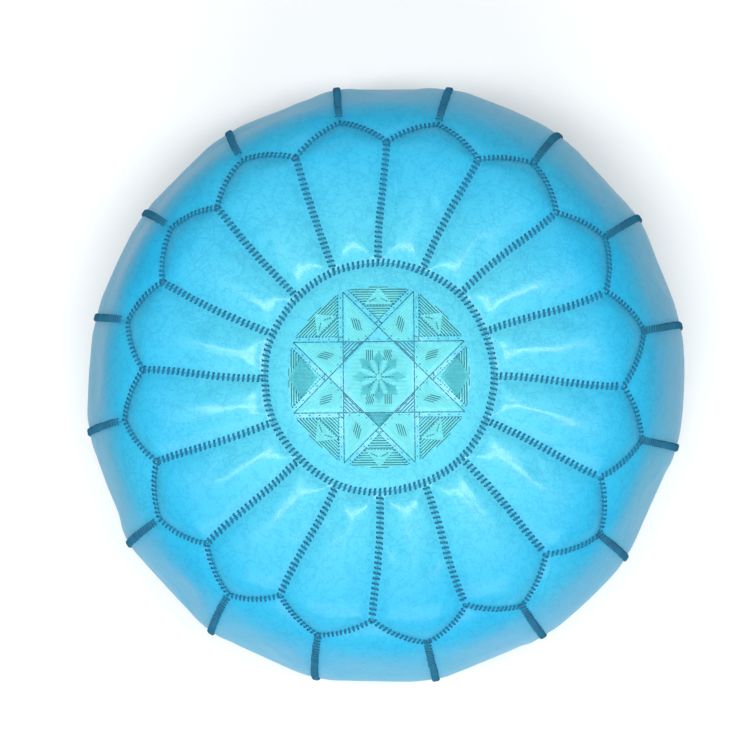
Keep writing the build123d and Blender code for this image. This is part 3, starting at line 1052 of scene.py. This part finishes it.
@dataclass
class Braid:
    """A row of stitches along one seam.

    Attributes:
        name: Name of the piece.
        node: Frame node that it stands for, with the rest of its group.
        stitch: The stitch that it is made of.
        path: Gives the angle and the run of the seam at a share of its length.
        lean: How unevenly the stitches lean.
        vary: How unevenly long they are.
        stray: How far they stray from the seam.
    """

    name: str
    node: str
    stitch: Stitch
    path: Callable[[float], tuple[float, float]]
    lean: float = 0.045
    vary: float = 0.03
    stray: float = 0.00012

    def build(self, form: StuffedForm, hand: random.Random) -> bpy.types.Object:
        """Sets the stitches along the seam.

        Args:
            form: The stuffed form.
            hand: Source of the small differences between stitches.

        Returns:
            The braid.
        """
        samples = 60
        points = [form.place(*self.path(n / samples)) for n in range(samples + 1)]
        length = sum((b - a).length for a, b in zip(points, points[1:]))
        count = max(1, round(length / self.stitch.pitch))
        template = bpy.data.meshes.new("stitch")
        thread = tube(self.stitch.path(), self.stitch.thread)
        thread.to_mesh(template)
        thread.free()
        bm = bmesh.new()
        for number in range(count):
            share = (number + 0.5) / count
            step = 0.5 / count
            before, after = max(0.0, share - step), min(1.0, share + step)
            ahead = form.place(*self.path(after)) - form.place(*self.path(before))
            angle, run = self.path(share)
            up = form.normal(angle, run)
            along = (ahead - up * ahead.dot(up)).normalized()
            along = (along + up.cross(along) * hand.gauss(0, self.lean)).normalized()
            across = up.cross(along)
            size = 1 + hand.gauss(0, self.vary)
            middle = form.place(angle, run) + across * hand.gauss(0, self.stray)
            known = len(bm.verts)
            bm.from_mesh(template)
            bm.verts.ensure_lookup_table()
            turn = Matrix((along * size, across * size, up)).transposed().to_4x4()
            moved = Matrix.Translation(middle) @ turn
            bmesh.ops.transform(bm, matrix=moved, verts=bm.verts[known:])
        bpy.data.meshes.remove(template)
        piece = finish_mesh(self.name, bm)
        settle(piece, [self.node])
        Finish.BRAID.dress(piece)
        return piece


@dataclass
class Embroidery:
    """Every braid that covers a seam of the upper cover.

    Attributes:
        form: The stuffed form.
        foot: Height over the floor at which the side braids end.
        valley_gap: Gap between a petal seam's braid and the inner corner, in half widths.
        tip_gap: Gap between a petal's point and the side braid, in half widths.
        wide: Stitch of the medallion, petal and side seams.
        narrow: Stitch of the petals' pointed edge.
    """

    form: StuffedForm
    foot: float = 0.014
    valley_gap: float = 0.6
    tip_gap: float = 0.8
    wide: Stitch = Stitch()
    narrow: Stitch = Stitch(0.0056, 0.0039, 0.0002, 0.00078, 0.0009)

    def braids(self) -> Iterable[Braid]:
        """Every braid, seam by seam."""
        form = self.form
        inner, half = form.run_at(form.medallion), self.wide.width / 2
        foot_run = form.heel_run - form.arcs[-1].radius * math.acos(1 - self.foot / form.arcs[-1].radius)
        yield Braid("medallion_stitches", "medallion_braid", self.wide, lambda t: (2 * math.pi * t, inner))
        for number in range(form.panels):
            seam, point = number * form.pitch, (number + 0.5) * form.pitch
            valley = form.run_at(form.valley) - half * self.valley_gap
            tip = form.run_at(form.tip) + half * self.tip_gap

            def radial(t: float, seam: float = seam, valley: float = valley) -> tuple[float, float]:
                """The seam between two petals."""
                return seam, inner + half + t * (valley - inner - half)

            def edge(t: float, seam: float = seam) -> tuple[float, float]:
                """The pointed edge of one petal."""
                angle = seam + t * form.pitch
                return angle, form.run_at(form.edge_radius(angle))

            def side(t: float, point: float = point, tip: float = tip) -> tuple[float, float]:
                """The seam between two side panels."""
                return point, tip + t * (foot_run - tip)

            yield Braid(f"radial_braid_{number + 1:02d}", "radial_braids", self.wide, radial)
            yield Braid(f"petal_edge_braid_{number + 1:02d}", "petal_edge_braid", self.narrow, edge)
            yield Braid(f"side_braid_{number + 1:02d}", "side_braids", self.wide, side)

    def build(self) -> None:
        """Sews every braid."""
        hand = random.Random(5)
        for braid in self.braids():
            braid.build(self.form, hand)


# --- the silk star ---------------------------------------------------------------------------------------
def polar(radius: float, angle: float) -> Point:
    """Point of a plane at a radius and an angle in eighths of a turn."""
    return radius * math.cos(angle * math.pi / 4), radius * math.sin(angle * math.pi / 4)


def between(first: Point, second: Point, share: float) -> Point:
    """Point of the line from the first to the second at a share of its length."""
    return first[0] + (second[0] - first[0]) * share, first[1] + (second[1] - first[1]) * share


@dataclass(frozen=True)
class Silk:
    """One silk of the star.

    Attributes:
        piece: Name of the piece that it makes.
        finish: Its finish.
        thread: Radius of the thread.
        lift: How far the thread's middle stands over the leather.
    """

    piece: str
    finish: Finish
    thread: float
    lift: float


PALE = Silk("silk_star_ground", Finish.PALE_SILK, 0.00050, 0.00000)
FULL = Silk("silk_star_fillings", Finish.FULL_SILK, 0.00050, 0.00035)
DARK = Silk("silk_star_lines", Finish.DARK_SILK, 0.00034, 0.00056)


@dataclass
class SilkStar:
    """An eight-pointed star on the medallion: a ground of pale satin stitches under dark lines and hatching.

    Attributes:
        form: The stuffed form.
        ground: The medallion on which the silk lies.
        radius: Radius of the star's points.
        band: Width of the band between a line of the star and the dots beside it.
        satin: Distance between the stitches of a filled field.
        hatch: Distance between the stitches of a hatched field.
        dots: Distance from one dot to the next along a border.
        studs: Distance from one dot to the next inside a band.
        dash: Distance from one stitch of a line to the next.
        lozenge: Half the length of the lozenges in the star's points.
        lozenge_rows: Distance between a lozenge's stitches.
        tile: Half the width and height of the small tiles round the rosette.
    """

    form: StuffedForm
    ground: bpy.types.Object
    radius: float
    band: float = 0.0042
    satin: float = 0.00112
    hatch: float = 0.0021
    dots: float = 0.0027
    studs: float = 0.0085
    dash: float = 0.0062
    lozenge: float = 0.0058
    lozenge_rows: float = 0.0018
    tile: tuple[float, float] = (0.0034, 0.0045)

    def __post_init__(self) -> None:
        """Reads the medallion's finished surface and works out the star's inner distances."""
        graph = bpy.context.evaluated_depsgraph_get()
        surface = self.ground.evaluated_get(graph)
        bm = bmesh.new()
        bm.from_mesh(surface.to_mesh())
        self.surface = BVHTree.FromBMesh(bm)
        bm.free()
        surface.to_mesh_clear()
        self.turn = self.form.twist
        self.work = {silk.piece: bmesh.new() for silk in (PALE, FULL, DARK)}
        self.near = self.radius * math.cos(3 * math.pi / 8)
        self.notch = self.near / math.cos(math.pi / 4)
        self.ring = self.near / math.cos(math.pi / 8)

    def on_leather(self, point: Point, lift: float) -> Vector:
        """The place over a point of the plane, at a height over the medallion's surface."""
        over = Matrix.Rotation(self.turn, 3, "Z") @ Vector((*point, self.form.height + 0.05))
        hit = self.surface.ray_cast(over, Vector((0, 0, -1)))[0]
        return (hit or over) + Vector((0, 0, lift))

    def stitch(self, start: Point, end: Point, silk: Silk) -> None:
        """One silk stitch, its ends sunk into the leather."""
        length = math.dist(start, end)
        if length < silk.thread:
            return
        count = max(2, round(length / 0.006) + 1)
        points = [self.on_leather(between(start, end, n / count), silk.lift) for n in range(count + 1)]
        for point in (points[0], points[-1]):
            point.z -= silk.thread * 0.8
        join(self.work[silk.piece], tube(points, silk.thread, 4))

    def running(self, start: Point, end: Point, pitch: float, share: float) -> None:
        """A line of dark running stitches.

        Args:
            start: First point of the line.
            end: Last point of the line.
            pitch: Distance from one stitch to the next.
            share: Share of the pitch that a stitch covers.
        """
        count = max(1, round(math.dist(start, end) / pitch))
        for number in range(count):
            middle, half = (number + 0.5) / count, 0.5 * share / count
            self.stitch(between(start, end, middle - half), between(start, end, middle + half), DARK)

    def field(self, outline: Sequence[Point], lean: float, silk: Silk, apart: float) -> None:
        """A field of parallel stitches inside a convex outline.

        Args:
            outline: Corners of the field.
            lean: Angle of the stitches.
            silk: The silk of the stitches.
            apart: Distance from one stitch to the next.
        """
        along, across = (math.cos(lean), math.sin(lean)), (-math.sin(lean), math.cos(lean))
        levels = [p[0] * across[0] + p[1] * across[1] for p in outline]
        sides = list(zip(outline, list(outline[1:]) + [outline[0]], levels, levels[1:] + levels[:1]))
        count = max(1, round((max(levels) - min(levels)) / apart))
        for number in range(count):
            level = min(levels) + (number + 0.5) / count * (max(levels) - min(levels))
            cuts = []
            for first, second, low, high in sides:
                if (low - level) * (high - level) < 0:
                    cuts.append(between(first, second, (level - low) / (high - low)))
            cuts.sort(key=lambda p: p[0] * along[0] + p[1] * along[1])
            if len(cuts) == 2:
                self.stitch(between(cuts[0], cuts[1], 0.02), between(cuts[0], cuts[1], 0.98), silk)

    def border(self, outline: Sequence[Point]) -> None:
        """A dotted line round an outline."""
        for first, second in zip(outline, list(outline[1:]) + [outline[0]]):
            self.running(first, second, self.dots, 0.45)

    def lines(self) -> None:
        """The star's eight lines, each with a line of studs and a dotted border outside it."""
        offsets = (0.0, self.band / 2, self.band)
        reaches = [math.acos((self.near + offset) / self.radius) * 4 / math.pi for offset in offsets]
        for number in range(8):
            solid, studs, dotted = (
                [polar(self.radius, number + side * reach) for side in (-1, 1)] for reach in reaches
            )
            self.running(*solid, self.dash, 0.9)
            self.running(*studs, self.studs, 0.14)
            for side in (0, 1):
                self.running(dotted[side], between(dotted[side], dotted[1 - side], 0.29), self.dots, 0.5)

    def star_point(self, number: int) -> None:
        """One point of the star: satin, with a lozenge of short dark stitches."""
        tilt = (number + 0.5) * math.pi / 4
        kite = [polar(self.notch, number), polar(self.radius, number + 0.5), polar(self.notch, number + 1)]
        self.field([*kite, polar(self.ring, number + 0.5)], tilt + math.pi / 2, PALE, self.satin)
        middle = polar(self.radius * 0.62, number + 0.5)
        lean = tilt + (0.12 if number % 2 else -0.12)
        for row in (-1.5, -0.5, 0.5, 1.5):
            side, push, half = row * self.lozenge_rows, row * 0.0012, self.lozenge - abs(row) * 0.0008
            foot = (middle[0] - side * math.sin(tilt), middle[1] + side * math.cos(tilt))
            ends = []
            for reach in (push - half, push + half):
                ends.append((foot[0] + reach * math.cos(lean), foot[1] + reach * math.sin(lean)))
            self.stitch(*ends, DARK)

    def outer_field(self, number: int) -> None:
        """One field between two points: a filled or half hatched diamond between two hatched triangles."""
        across = (number + 2) * math.pi / 4
        edge = (self.near + self.band) / self.radius
        corner = math.acos(edge) * 4 / math.pi - 1
        inner = polar(edge * self.radius / math.cos(math.pi / 4), number)
        sides = [polar(self.radius, number + turn * corner) for turn in (-1, 1)]
        peak = polar(self.radius * 0.985, number)
        shoulders = [between(inner, side, 0.5) for side in sides]
        self.field([inner, sides[0], peak, sides[1]], across, PALE, self.satin)
        filled = number % 4 == 0
        if filled:
            left, right = (between(inner, side, 0.72) for side in sides)
            core = [between(inner, peak, 0.1), left, peak, right]
            self.field(core, across + math.pi / 2, FULL, self.satin)
        else:
            self.field([inner, *shoulders], across, DARK, self.hatch)
            self.border([shoulders[0], peak, shoulders[1]])
            heart = between(inner, peak, 0.68)
            for side in shoulders:
                self.running(between(heart, side, 0.12), between(heart, side, 0.6), self.hatch, 0.8)
        for side, shoulder in zip(sides, shoulders):
            root = between(shoulder, side, 0.3 if filled else 0.0)
            self.field([root, side, peak], across, DARK, self.hatch)
        near_sides = [polar(self.ring, number - 0.5), polar(self.ring, number + 0.5)]
        if number == 6:
            self.field([*near_sides, polar(self.notch, number)], across, FULL, self.satin)
        if number % 2:
            self.field([polar(self.notch * 0.97, number), *near_sides], across, DARK, self.hatch)

    def rosette(self) -> None:
        """The round flower inside the eight lines."""
        disc = [polar(self.ring * 0.98, number + 0.5) for number in range(8)]
        self.field(disc, 0.0, PALE, self.satin)
        for number in range(8):
            leaf = ((0.12, 0), (0.5, -0.36), (0.72, 0), (0.5, 0.36))
            petal = [polar(self.ring * share, number + turn) for share, turn in leaf]
            self.field(petal, number * math.pi / 4, FULL, self.satin)
            self.running(polar(self.ring * 0.06, number), polar(self.ring * 0.4, number), self.dots, 0.7)
            if number in (1, 2, 5, 6):
                side = polar(self.ring * 0.62, number + 0.5)
                corners = ((-1, -1), (1, -1), (1, 1), (-1, 1))
                tile = [(side[0] + x * self.tile[0], side[1] + y * self.tile[1]) for x, y in corners]
                self.field(tile, (1.5 + 0.35 * (number % 2)) * math.pi / 3, DARK, 0.0017)

    def build(self) -> None:
        """Embroiders the star."""
        for number in range(8):
            self.star_point(number)
            self.outer_field(number)
        self.rosette()
        self.lines()
        for silk in (PALE, FULL, DARK):
            piece = finish_mesh(silk.piece, self.work[silk.piece])
            settle(piece, ["silk_star"])
            silk.finish.dress(piece)


# --- the base and its zip --------------------------------------------------------------------------------
class Side(Enum):
    """The two sides of the zip; the value is the sign of y."""

    FRONT = -1
    REAR = 1


@dataclass
class BaseCover:
    """The two base halves, their hems beside the zip and their machine stitches.

    Attributes:
        form: The stuffed form.
        slot: Half the width of the zip's slot.
        slot_end: Half the length of the zip's slot.
        gap: Half the gap between the halves beyond the slot.
        hem: Height to which the folded hem rolls up.
        seam_roll: Height to which the edge rolls up at the base seam.
        rest: Height of the flat leather over the floor.
        tuck: How far the edge is tucked past the base seam.
        leather: Thickness of the leather.
        cell: Size of a cell of the grids.
        pitch: Distance from one machine stitch to the next.
        thread: Radius of the machine thread.
    """

    form: StuffedForm
    slot: float = 0.008
    slot_end: float = 0.1502
    gap: float = 0.0004
    hem: float = 0.004
    seam_roll: float = 0.0024
    rest: float = 0.0009
    tuck: float = 0.0008
    leather: float = 0.0018
    cell: float = 0.0055
    pitch: float = 0.0048
    thread: float = 0.00035

    def slot_edge(self, x: float) -> float:
        """Distance of a base half's straight edge from the middle line."""
        open_share = 1 - smooth(abs(x), self.slot_end - 0.004, self.slot_end + 0.001)
        return self.gap + (self.slot - self.gap) * open_share

    def half(self, side: Side) -> bpy.types.Object:
        """One base half: a D of leather, rolled up at its hem and at its seam."""
        radius = self.form.base_seam + self.tuck
        count = round(2 * radius / self.cell)
        rows = round(radius / self.cell)
        bm = grid(count, rows)
        for vert in bm.verts:
            angle = (1 - vert.co.x / count) * math.pi
            reach = math.cos(angle) * radius
            low = self.slot_edge(reach)
            high = max(low, math.sqrt(max(0.0, radius**2 - reach**2)))
            share = vert.co.y / rows
            y = low + (high - low) * share
            rim = radius - math.hypot(reach, y)
            roll = (1 - smooth(y - low, 0.0, 0.004)) * (1 - smooth(abs(reach), self.slot_end, radius))
            lift = self.rest + self.seam_roll * (1 - smooth(rim, 0.0, 0.007)) + self.hem * roll
            swell = noise.noise(Vector((reach * 22, y * 22, side.value * 2.0)))
            lift += 0.0011 * abs(swell) * smooth(rim, 0.004, 0.03)
            vert.co = Vector((reach, side.value * y, lift))
        bmesh.ops.remove_doubles(bm, verts=bm.verts, dist=0.00002)
        bm.normal_update()
        if sum(f.normal.z for f in bm.faces) > 0:
            bmesh.ops.reverse_faces(bm, faces=bm.faces)
        name = "base_half_front" if side is Side.FRONT else "base_half_rear"
        piece = finish_mesh(f"{name}_leather", bm)
        add_wall(piece, self.leather, 1)
        settle(piece, [name])
        Finish.BASE.dress(piece)
        return piece

    def sewing(self) -> bpy.types.Object:
        """Machine stitches round the base seam and along both hems."""
        bm = bmesh.new()
        pitch, thread = self.pitch, self.thread
        lines: list[Callable[[float], Vector]] = []
        counts = []
        for offset in (-0.0085, 0.0075):
            radius = self.form.base_seam + offset
            lines.append(lambda t, r=radius: Vector((r * math.cos(t / r), r * math.sin(t / r), 0.0004)))
            counts.append(round(2 * math.pi * radius / pitch))
        for side in Side:
            for offset in (0.0048, 0.0072):
                y = side.value * (self.slot + offset)
                lines.append(lambda t, y=y: Vector((t - self.slot_end, y, 0.0006)))
                counts.append(round(2 * self.slot_end / pitch))
        for line, count in zip(lines, counts):
            for number in range(count):
                shares = (0.14, 0.3, 0.5, 0.7, 0.86)
                points = [line((number + share) * pitch) for share in shares]
                points[0].z += thread * 2
                points[-1].z += thread * 2
                join(bm, tube(points, thread, 4))
        piece = finish_mesh("base_sewing", bm)
        settle(piece, [])
        Finish.SEWING.dress(piece)
        return piece

    def build(self) -> None:
        """Makes both halves and their stitches."""
        for side in Side:
            self.half(side)
        self.sewing()


@dataclass
class Zip:
    """The zip in the base: two woven tapes, two rows of nylon coil, the stops, the slider and its pull.

    Attributes:
        tooth_pitch: Distance from one turn of the coil to the next.
        wire: Radius of the coil's nylon wire.
        core: Radius of the cord that the coil is sewn to.
        cells: Number of cells along and across a tape.
    """

    tooth_pitch: float = 0.0024
    wire: float = 0.00042
    core: float = 0.00055
    cells: tuple[int, int] = (120, 8)

    def tape(self, side: Side) -> bpy.types.Object:
        """One woven tape, slightly rippled."""
        node = "zip_tape_front" if side is Side.FRONT else "zip_tape_rear"
        low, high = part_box(node)
        length, width = high.x - low.x, high.y - low.y
        along, across = self.cells
        bm = grid(along, across)
        for vert in bm.verts:
            x = low.x + vert.co.x / along * length
            share = vert.co.y / across
            y = low.y + share * width
            ripple = 0.00012 * math.sin(x * 260.0) * math.sin(share * math.pi)
            vert.co = Vector((x, y, (low.z + high.z) / 2 + ripple))
        piece = finish_mesh(f"{node}_weave", bm)
        wall = piece.modifiers.new("wall", "SOLIDIFY")
        wall.thickness = (high.z - low.z) * 0.9
        wall.offset = 0.0
        settle(piece, [node])
        Finish.TAPE.dress(piece)
        return piece

    def coil(self, side: Side) -> bpy.types.Object:
        """One row of coil turns, each a loop of wire that hooks towards the middle."""
        node = "zip_coil_front" if side is Side.FRONT else "zip_coil_rear"
        low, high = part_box(node)
        middle, half_height = (low.z + high.z) / 2, (high.z - low.z) / 2 - self.wire
        sign = side.value
        outer, inner = max(abs(low.y), abs(high.y)), min(abs(low.y), abs(high.y))
        bm = bmesh.new()
        count = int((high.x - low.x) / self.tooth_pitch) - 1
        first = low.x + self.tooth_pitch * (0.75 if side is Side.FRONT else 1.25)
        for number in range(count):
            x = first + number * self.tooth_pitch
            loop = [
                Vector((x - 0.0005, sign * (outer - 0.0004), middle - half_height * 0.8)),
                Vector((x - 0.0002, sign * (inner + 0.0012), middle - half_height)),
                Vector((x, sign * (inner + self.wire), middle - half_height * 0.5)),
                Vector((x, sign * (inner + self.wire), middle + half_height * 0.5)),
                Vector((x + 0.0002, sign * (inner + 0.0012), middle + half_height)),
                Vector((x + 0.0005, sign * (outer - 0.0004), middle + half_height * 0.8)),
            ]
            join(bm, tube(loop, self.wire, 5))
        start, end = (Vector((x, sign * (outer - 0.0006), middle)) for x in (low.x + 0.001, high.x - 0.001))
        join(bm, tube([start.lerp(end, n / 40) for n in range(41)], self.core, 6))
        piece = finish_mesh(f"{node}_turns", bm)
        settle(piece, [node])
        Finish.NYLON.dress(piece)
        return piece

    def build(self) -> None:
        """Makes the tapes and coils, and dresses the stops, the slider and the pull of the frame."""
        for side in Side:
            self.tape(side)
            self.coil(side)
        metal = ("zip_top_stops", "zip_bottom_stop", "zip_slider", "zip_pull")
        Finish.BRASS.dress(*(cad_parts[name] for name in metal))


# --- the filling -----------------------------------------------------------------------------------------
@dataclass
class Filling:
    """The cotton bag inside the cover and the wadding inside the bag.

    Attributes:
        form: The stuffed form.
        zip_height: Height kept free for the zip.
        zip_width: Half the width kept free for the zip.
        zip_length: Half the length kept free for the zip.
        bag: Depth of the bag under the leather's outer face, and height of the lumps under it.
        wadding: The same for the wadding.
        rows: Number of cells from the crown to the middle of the base.
    """

    form: StuffedForm
    zip_height: float
    zip_width: float = 0.0175
    zip_length: float = 0.16
    bag: tuple[float, float] = (0.0045, 0.0006)
    wadding: tuple[float, float] = (0.0075, 0.004)
    rows: int = 90

    def shell(self, inset: float, lump: float) -> bmesh.types.BMesh:
        """A closed skin inside the cover.

        Args:
            inset: Distance of the skin under the leather's outer face.
            lump: Height of the lumps of what it holds.

        Returns:
            The skin as a new bmesh.
        """
        form = self.form
        columns, rows = 6 * form.panels, self.rows
        total = form.heel_run + form.arcs[-1].centre[0]
        bm = grid(columns, rows)
        for vert in bm.verts:
            angle, run = 2 * math.pi * vert.co.x / columns, total * vert.co.y / rows
            angle, run = (angle, min(run, total - 1e-6)) if run > 0 else (0.0, 0.0)
            depth = inset + lump * (0.5 + 0.5 * noise.noise(form.place(angle, run) * 30))
            point = form.place(angle, run, -depth)
            room = 1 - smooth(max(abs(point.x) / self.zip_length, abs(point.y) / self.zip_width), 1.0, 1.3)
            point.z = max(point.z, (self.zip_height + inset) * room)
            vert.co = point
        bmesh.ops.remove_doubles(bm, verts=bm.verts, dist=0.0001)
        bmesh.ops.recalc_face_normals(bm, faces=bm.faces)
        return bm

    def build(self) -> None:
        """Makes the bag and the wadding."""
        bag = finish_mesh("cotton_bag_cloth", self.shell(*self.bag))
        add_wall(bag, 0.0008, 0)
        settle(bag, ["cotton_bag"])
        Finish.COTTON.dress(bag)
        wadding = finish_mesh("stuffing_wadding", self.shell(*self.wadding))
        settle(wadding, ["stuffing"])
        Finish.WADDING.dress(wadding)


# --- the studio ------------------------------------------------------------------------------------------
@dataclass
class Studio:
    """Plain pale floor, soft light and a camera over the pouf.

    Attributes:
        belly_height: Height of the pouf's widest place, which the camera measures from.
        distance: Distance of the camera from that place.
        lens: Focal length of the camera.
        lean: How far the camera leans from upright, to the right and to the front.
        roll: How far the camera is turned about its line of sight.
        shift: Shift of the lens, to the right and up.
        rim: Distances from the middle between which the floor turns up.
    """

    belly_height: float
    distance: float = 2.3
    lens: float = 119.6
    lean: tuple[float, float] = (math.radians(1.45), math.radians(1.6))
    roll: float = math.radians(1.7)
    shift: tuple[float, float] = (-0.012, 0.0107)
    rim: tuple[float, float] = (3.2, 6.5)

    def floor(self) -> None:
        """A broad pale floor, turned up softly at its rim."""
        bm = bmesh.new()
        bmesh.ops.create_grid(bm, x_segments=48, y_segments=48, size=6.0)
        for vert in bm.verts:
            vert.co.z = 0.8 * smooth(vert.co.length, *self.rim)
        floor = finish_mesh("floor", bm)
        nodes, shader, place = start_material("floor_paper")
        tooth = nodes.add("TexNoise", {"Vector": place, "Scale": 300.0, "Detail": 3.0})
        nodes.relief(shader, tooth.outputs["Fac"], 0.0003, 0.3)
        shader.inputs["Base Color"].default_value = (0.9, 0.9, 0.89, 1.0)
        shader.inputs["Roughness"].default_value = 0.9
        floor.data.materials.append(bpy.data.materials["floor_paper"])

    def softbox(self, name: str, place: Vector, size: Point, power: float, tint: Colour) -> None:
        """One rectangular soft light that faces the pouf.

        Args:
            name: Name of the light.
            place: Its middle.
            size: Its two sides.
            power: Its power in watts.
            tint: Its colour.
        """
        light = bpy.data.lights.new(name, "AREA")
        light.shape = "RECTANGLE"
        light.size, light.size_y = size
        light.energy = power
        light.color = tint
        lamp = bpy.data.objects.new(name, light)
        bpy.context.scene.collection.objects.link(lamp)
        aim = (Vector((0, 0, self.belly_height)) - place).to_track_quat("-Z", "Y")
        lamp.matrix_world = Matrix.LocRotScale(place, aim, None)

    def lights(self) -> None:
        """The softboxes and the pale surroundings."""
        white, cool = (1.0, 1.0, 1.0), (0.95, 0.98, 1.0)
        self.softbox("left_box", Vector((-0.52, -0.1, 2.3)), (0.34, 0.5), 14.5, white)
        self.softbox("right_box", Vector((0.52, 0.02, 2.3)), (0.34, 0.5), 14.5, white)
        self.softbox("top_box", Vector((0.05, -0.1, 3.1)), (0.9, 0.6), 34.0, white)
        self.softbox("front_box", Vector((0.1, -2.4, 2.4)), (3.0, 1.6), 66.0, white)
        self.softbox("rear_box", Vector((-0.2, 2.4, 2.0)), (2.4, 1.0), 11.0, cool)
        world = bpy.data.worlds.new("surroundings")
        world.use_nodes = True
        backdrop = world.node_tree.nodes["Background"]
        backdrop.inputs[0].default_value = (0.97, 0.98, 1.0, 1.0)
        backdrop.inputs[1].default_value = 0.16
        bpy.context.scene.world = world

    def camera(self) -> None:
        """The camera, looking down over the medallion."""
        data = bpy.data.cameras.new("camera")
        data.lens, data.sensor_width = self.lens, 36.0
        data.shift_x, data.shift_y = self.shift
        data.clip_end = 50.0
        camera = bpy.data.objects.new("camera", data)
        bpy.context.scene.collection.objects.link(camera)
        target = Vector((0, 0, self.belly_height))
        away = Vector((math.sin(self.lean[0]), -math.sin(self.lean[1]), 1.0)).normalized()
        right = Vector((0, 1, 0)).cross(away).normalized()
        up = away.cross(right)
        facing = Matrix((right, up, away)).transposed() @ Matrix.Rotation(self.roll, 3, "Z")
        camera.matrix_world = Matrix.Translation(target + away * self.distance) @ facing.to_4x4()
        bpy.context.scene.camera = camera

    def build(self) -> None:
        """Sets up the whole studio."""
        self.camera()
        self.floor()
        self.lights()
        view = bpy.context.scene.view_settings
        view.view_transform = "Standard"
        view.look = "None"


def main() -> None:
    """Builds every sub-assembly in order."""
    logging.basicConfig(level=logging.INFO, format="%(name)s: %(message)s")
    crown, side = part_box("medallion")[1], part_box("side_panel_16")[1]
    half_seam = 0.0002
    form = StuffedForm(
        outer_radius=side.x,
        height=crown.z,
        medallion=crown.x + half_seam,
        valley=0.206,
        tip=0.228,
        base_seam=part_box("base_half_rear")[1].x + half_seam,
    )
    Studio(form.belly_height).build()
    pieces = LeatherCover(form).build()
    Embroidery(form).build()
    SilkStar(form, pieces["medallion_leather"], form.medallion - 0.019).build()
    BaseCover(form).build()
    Zip().build()
    Filling(form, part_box("zip_slider")[1].z + 0.0008).build()


if __name__ == "__main__":
    main()
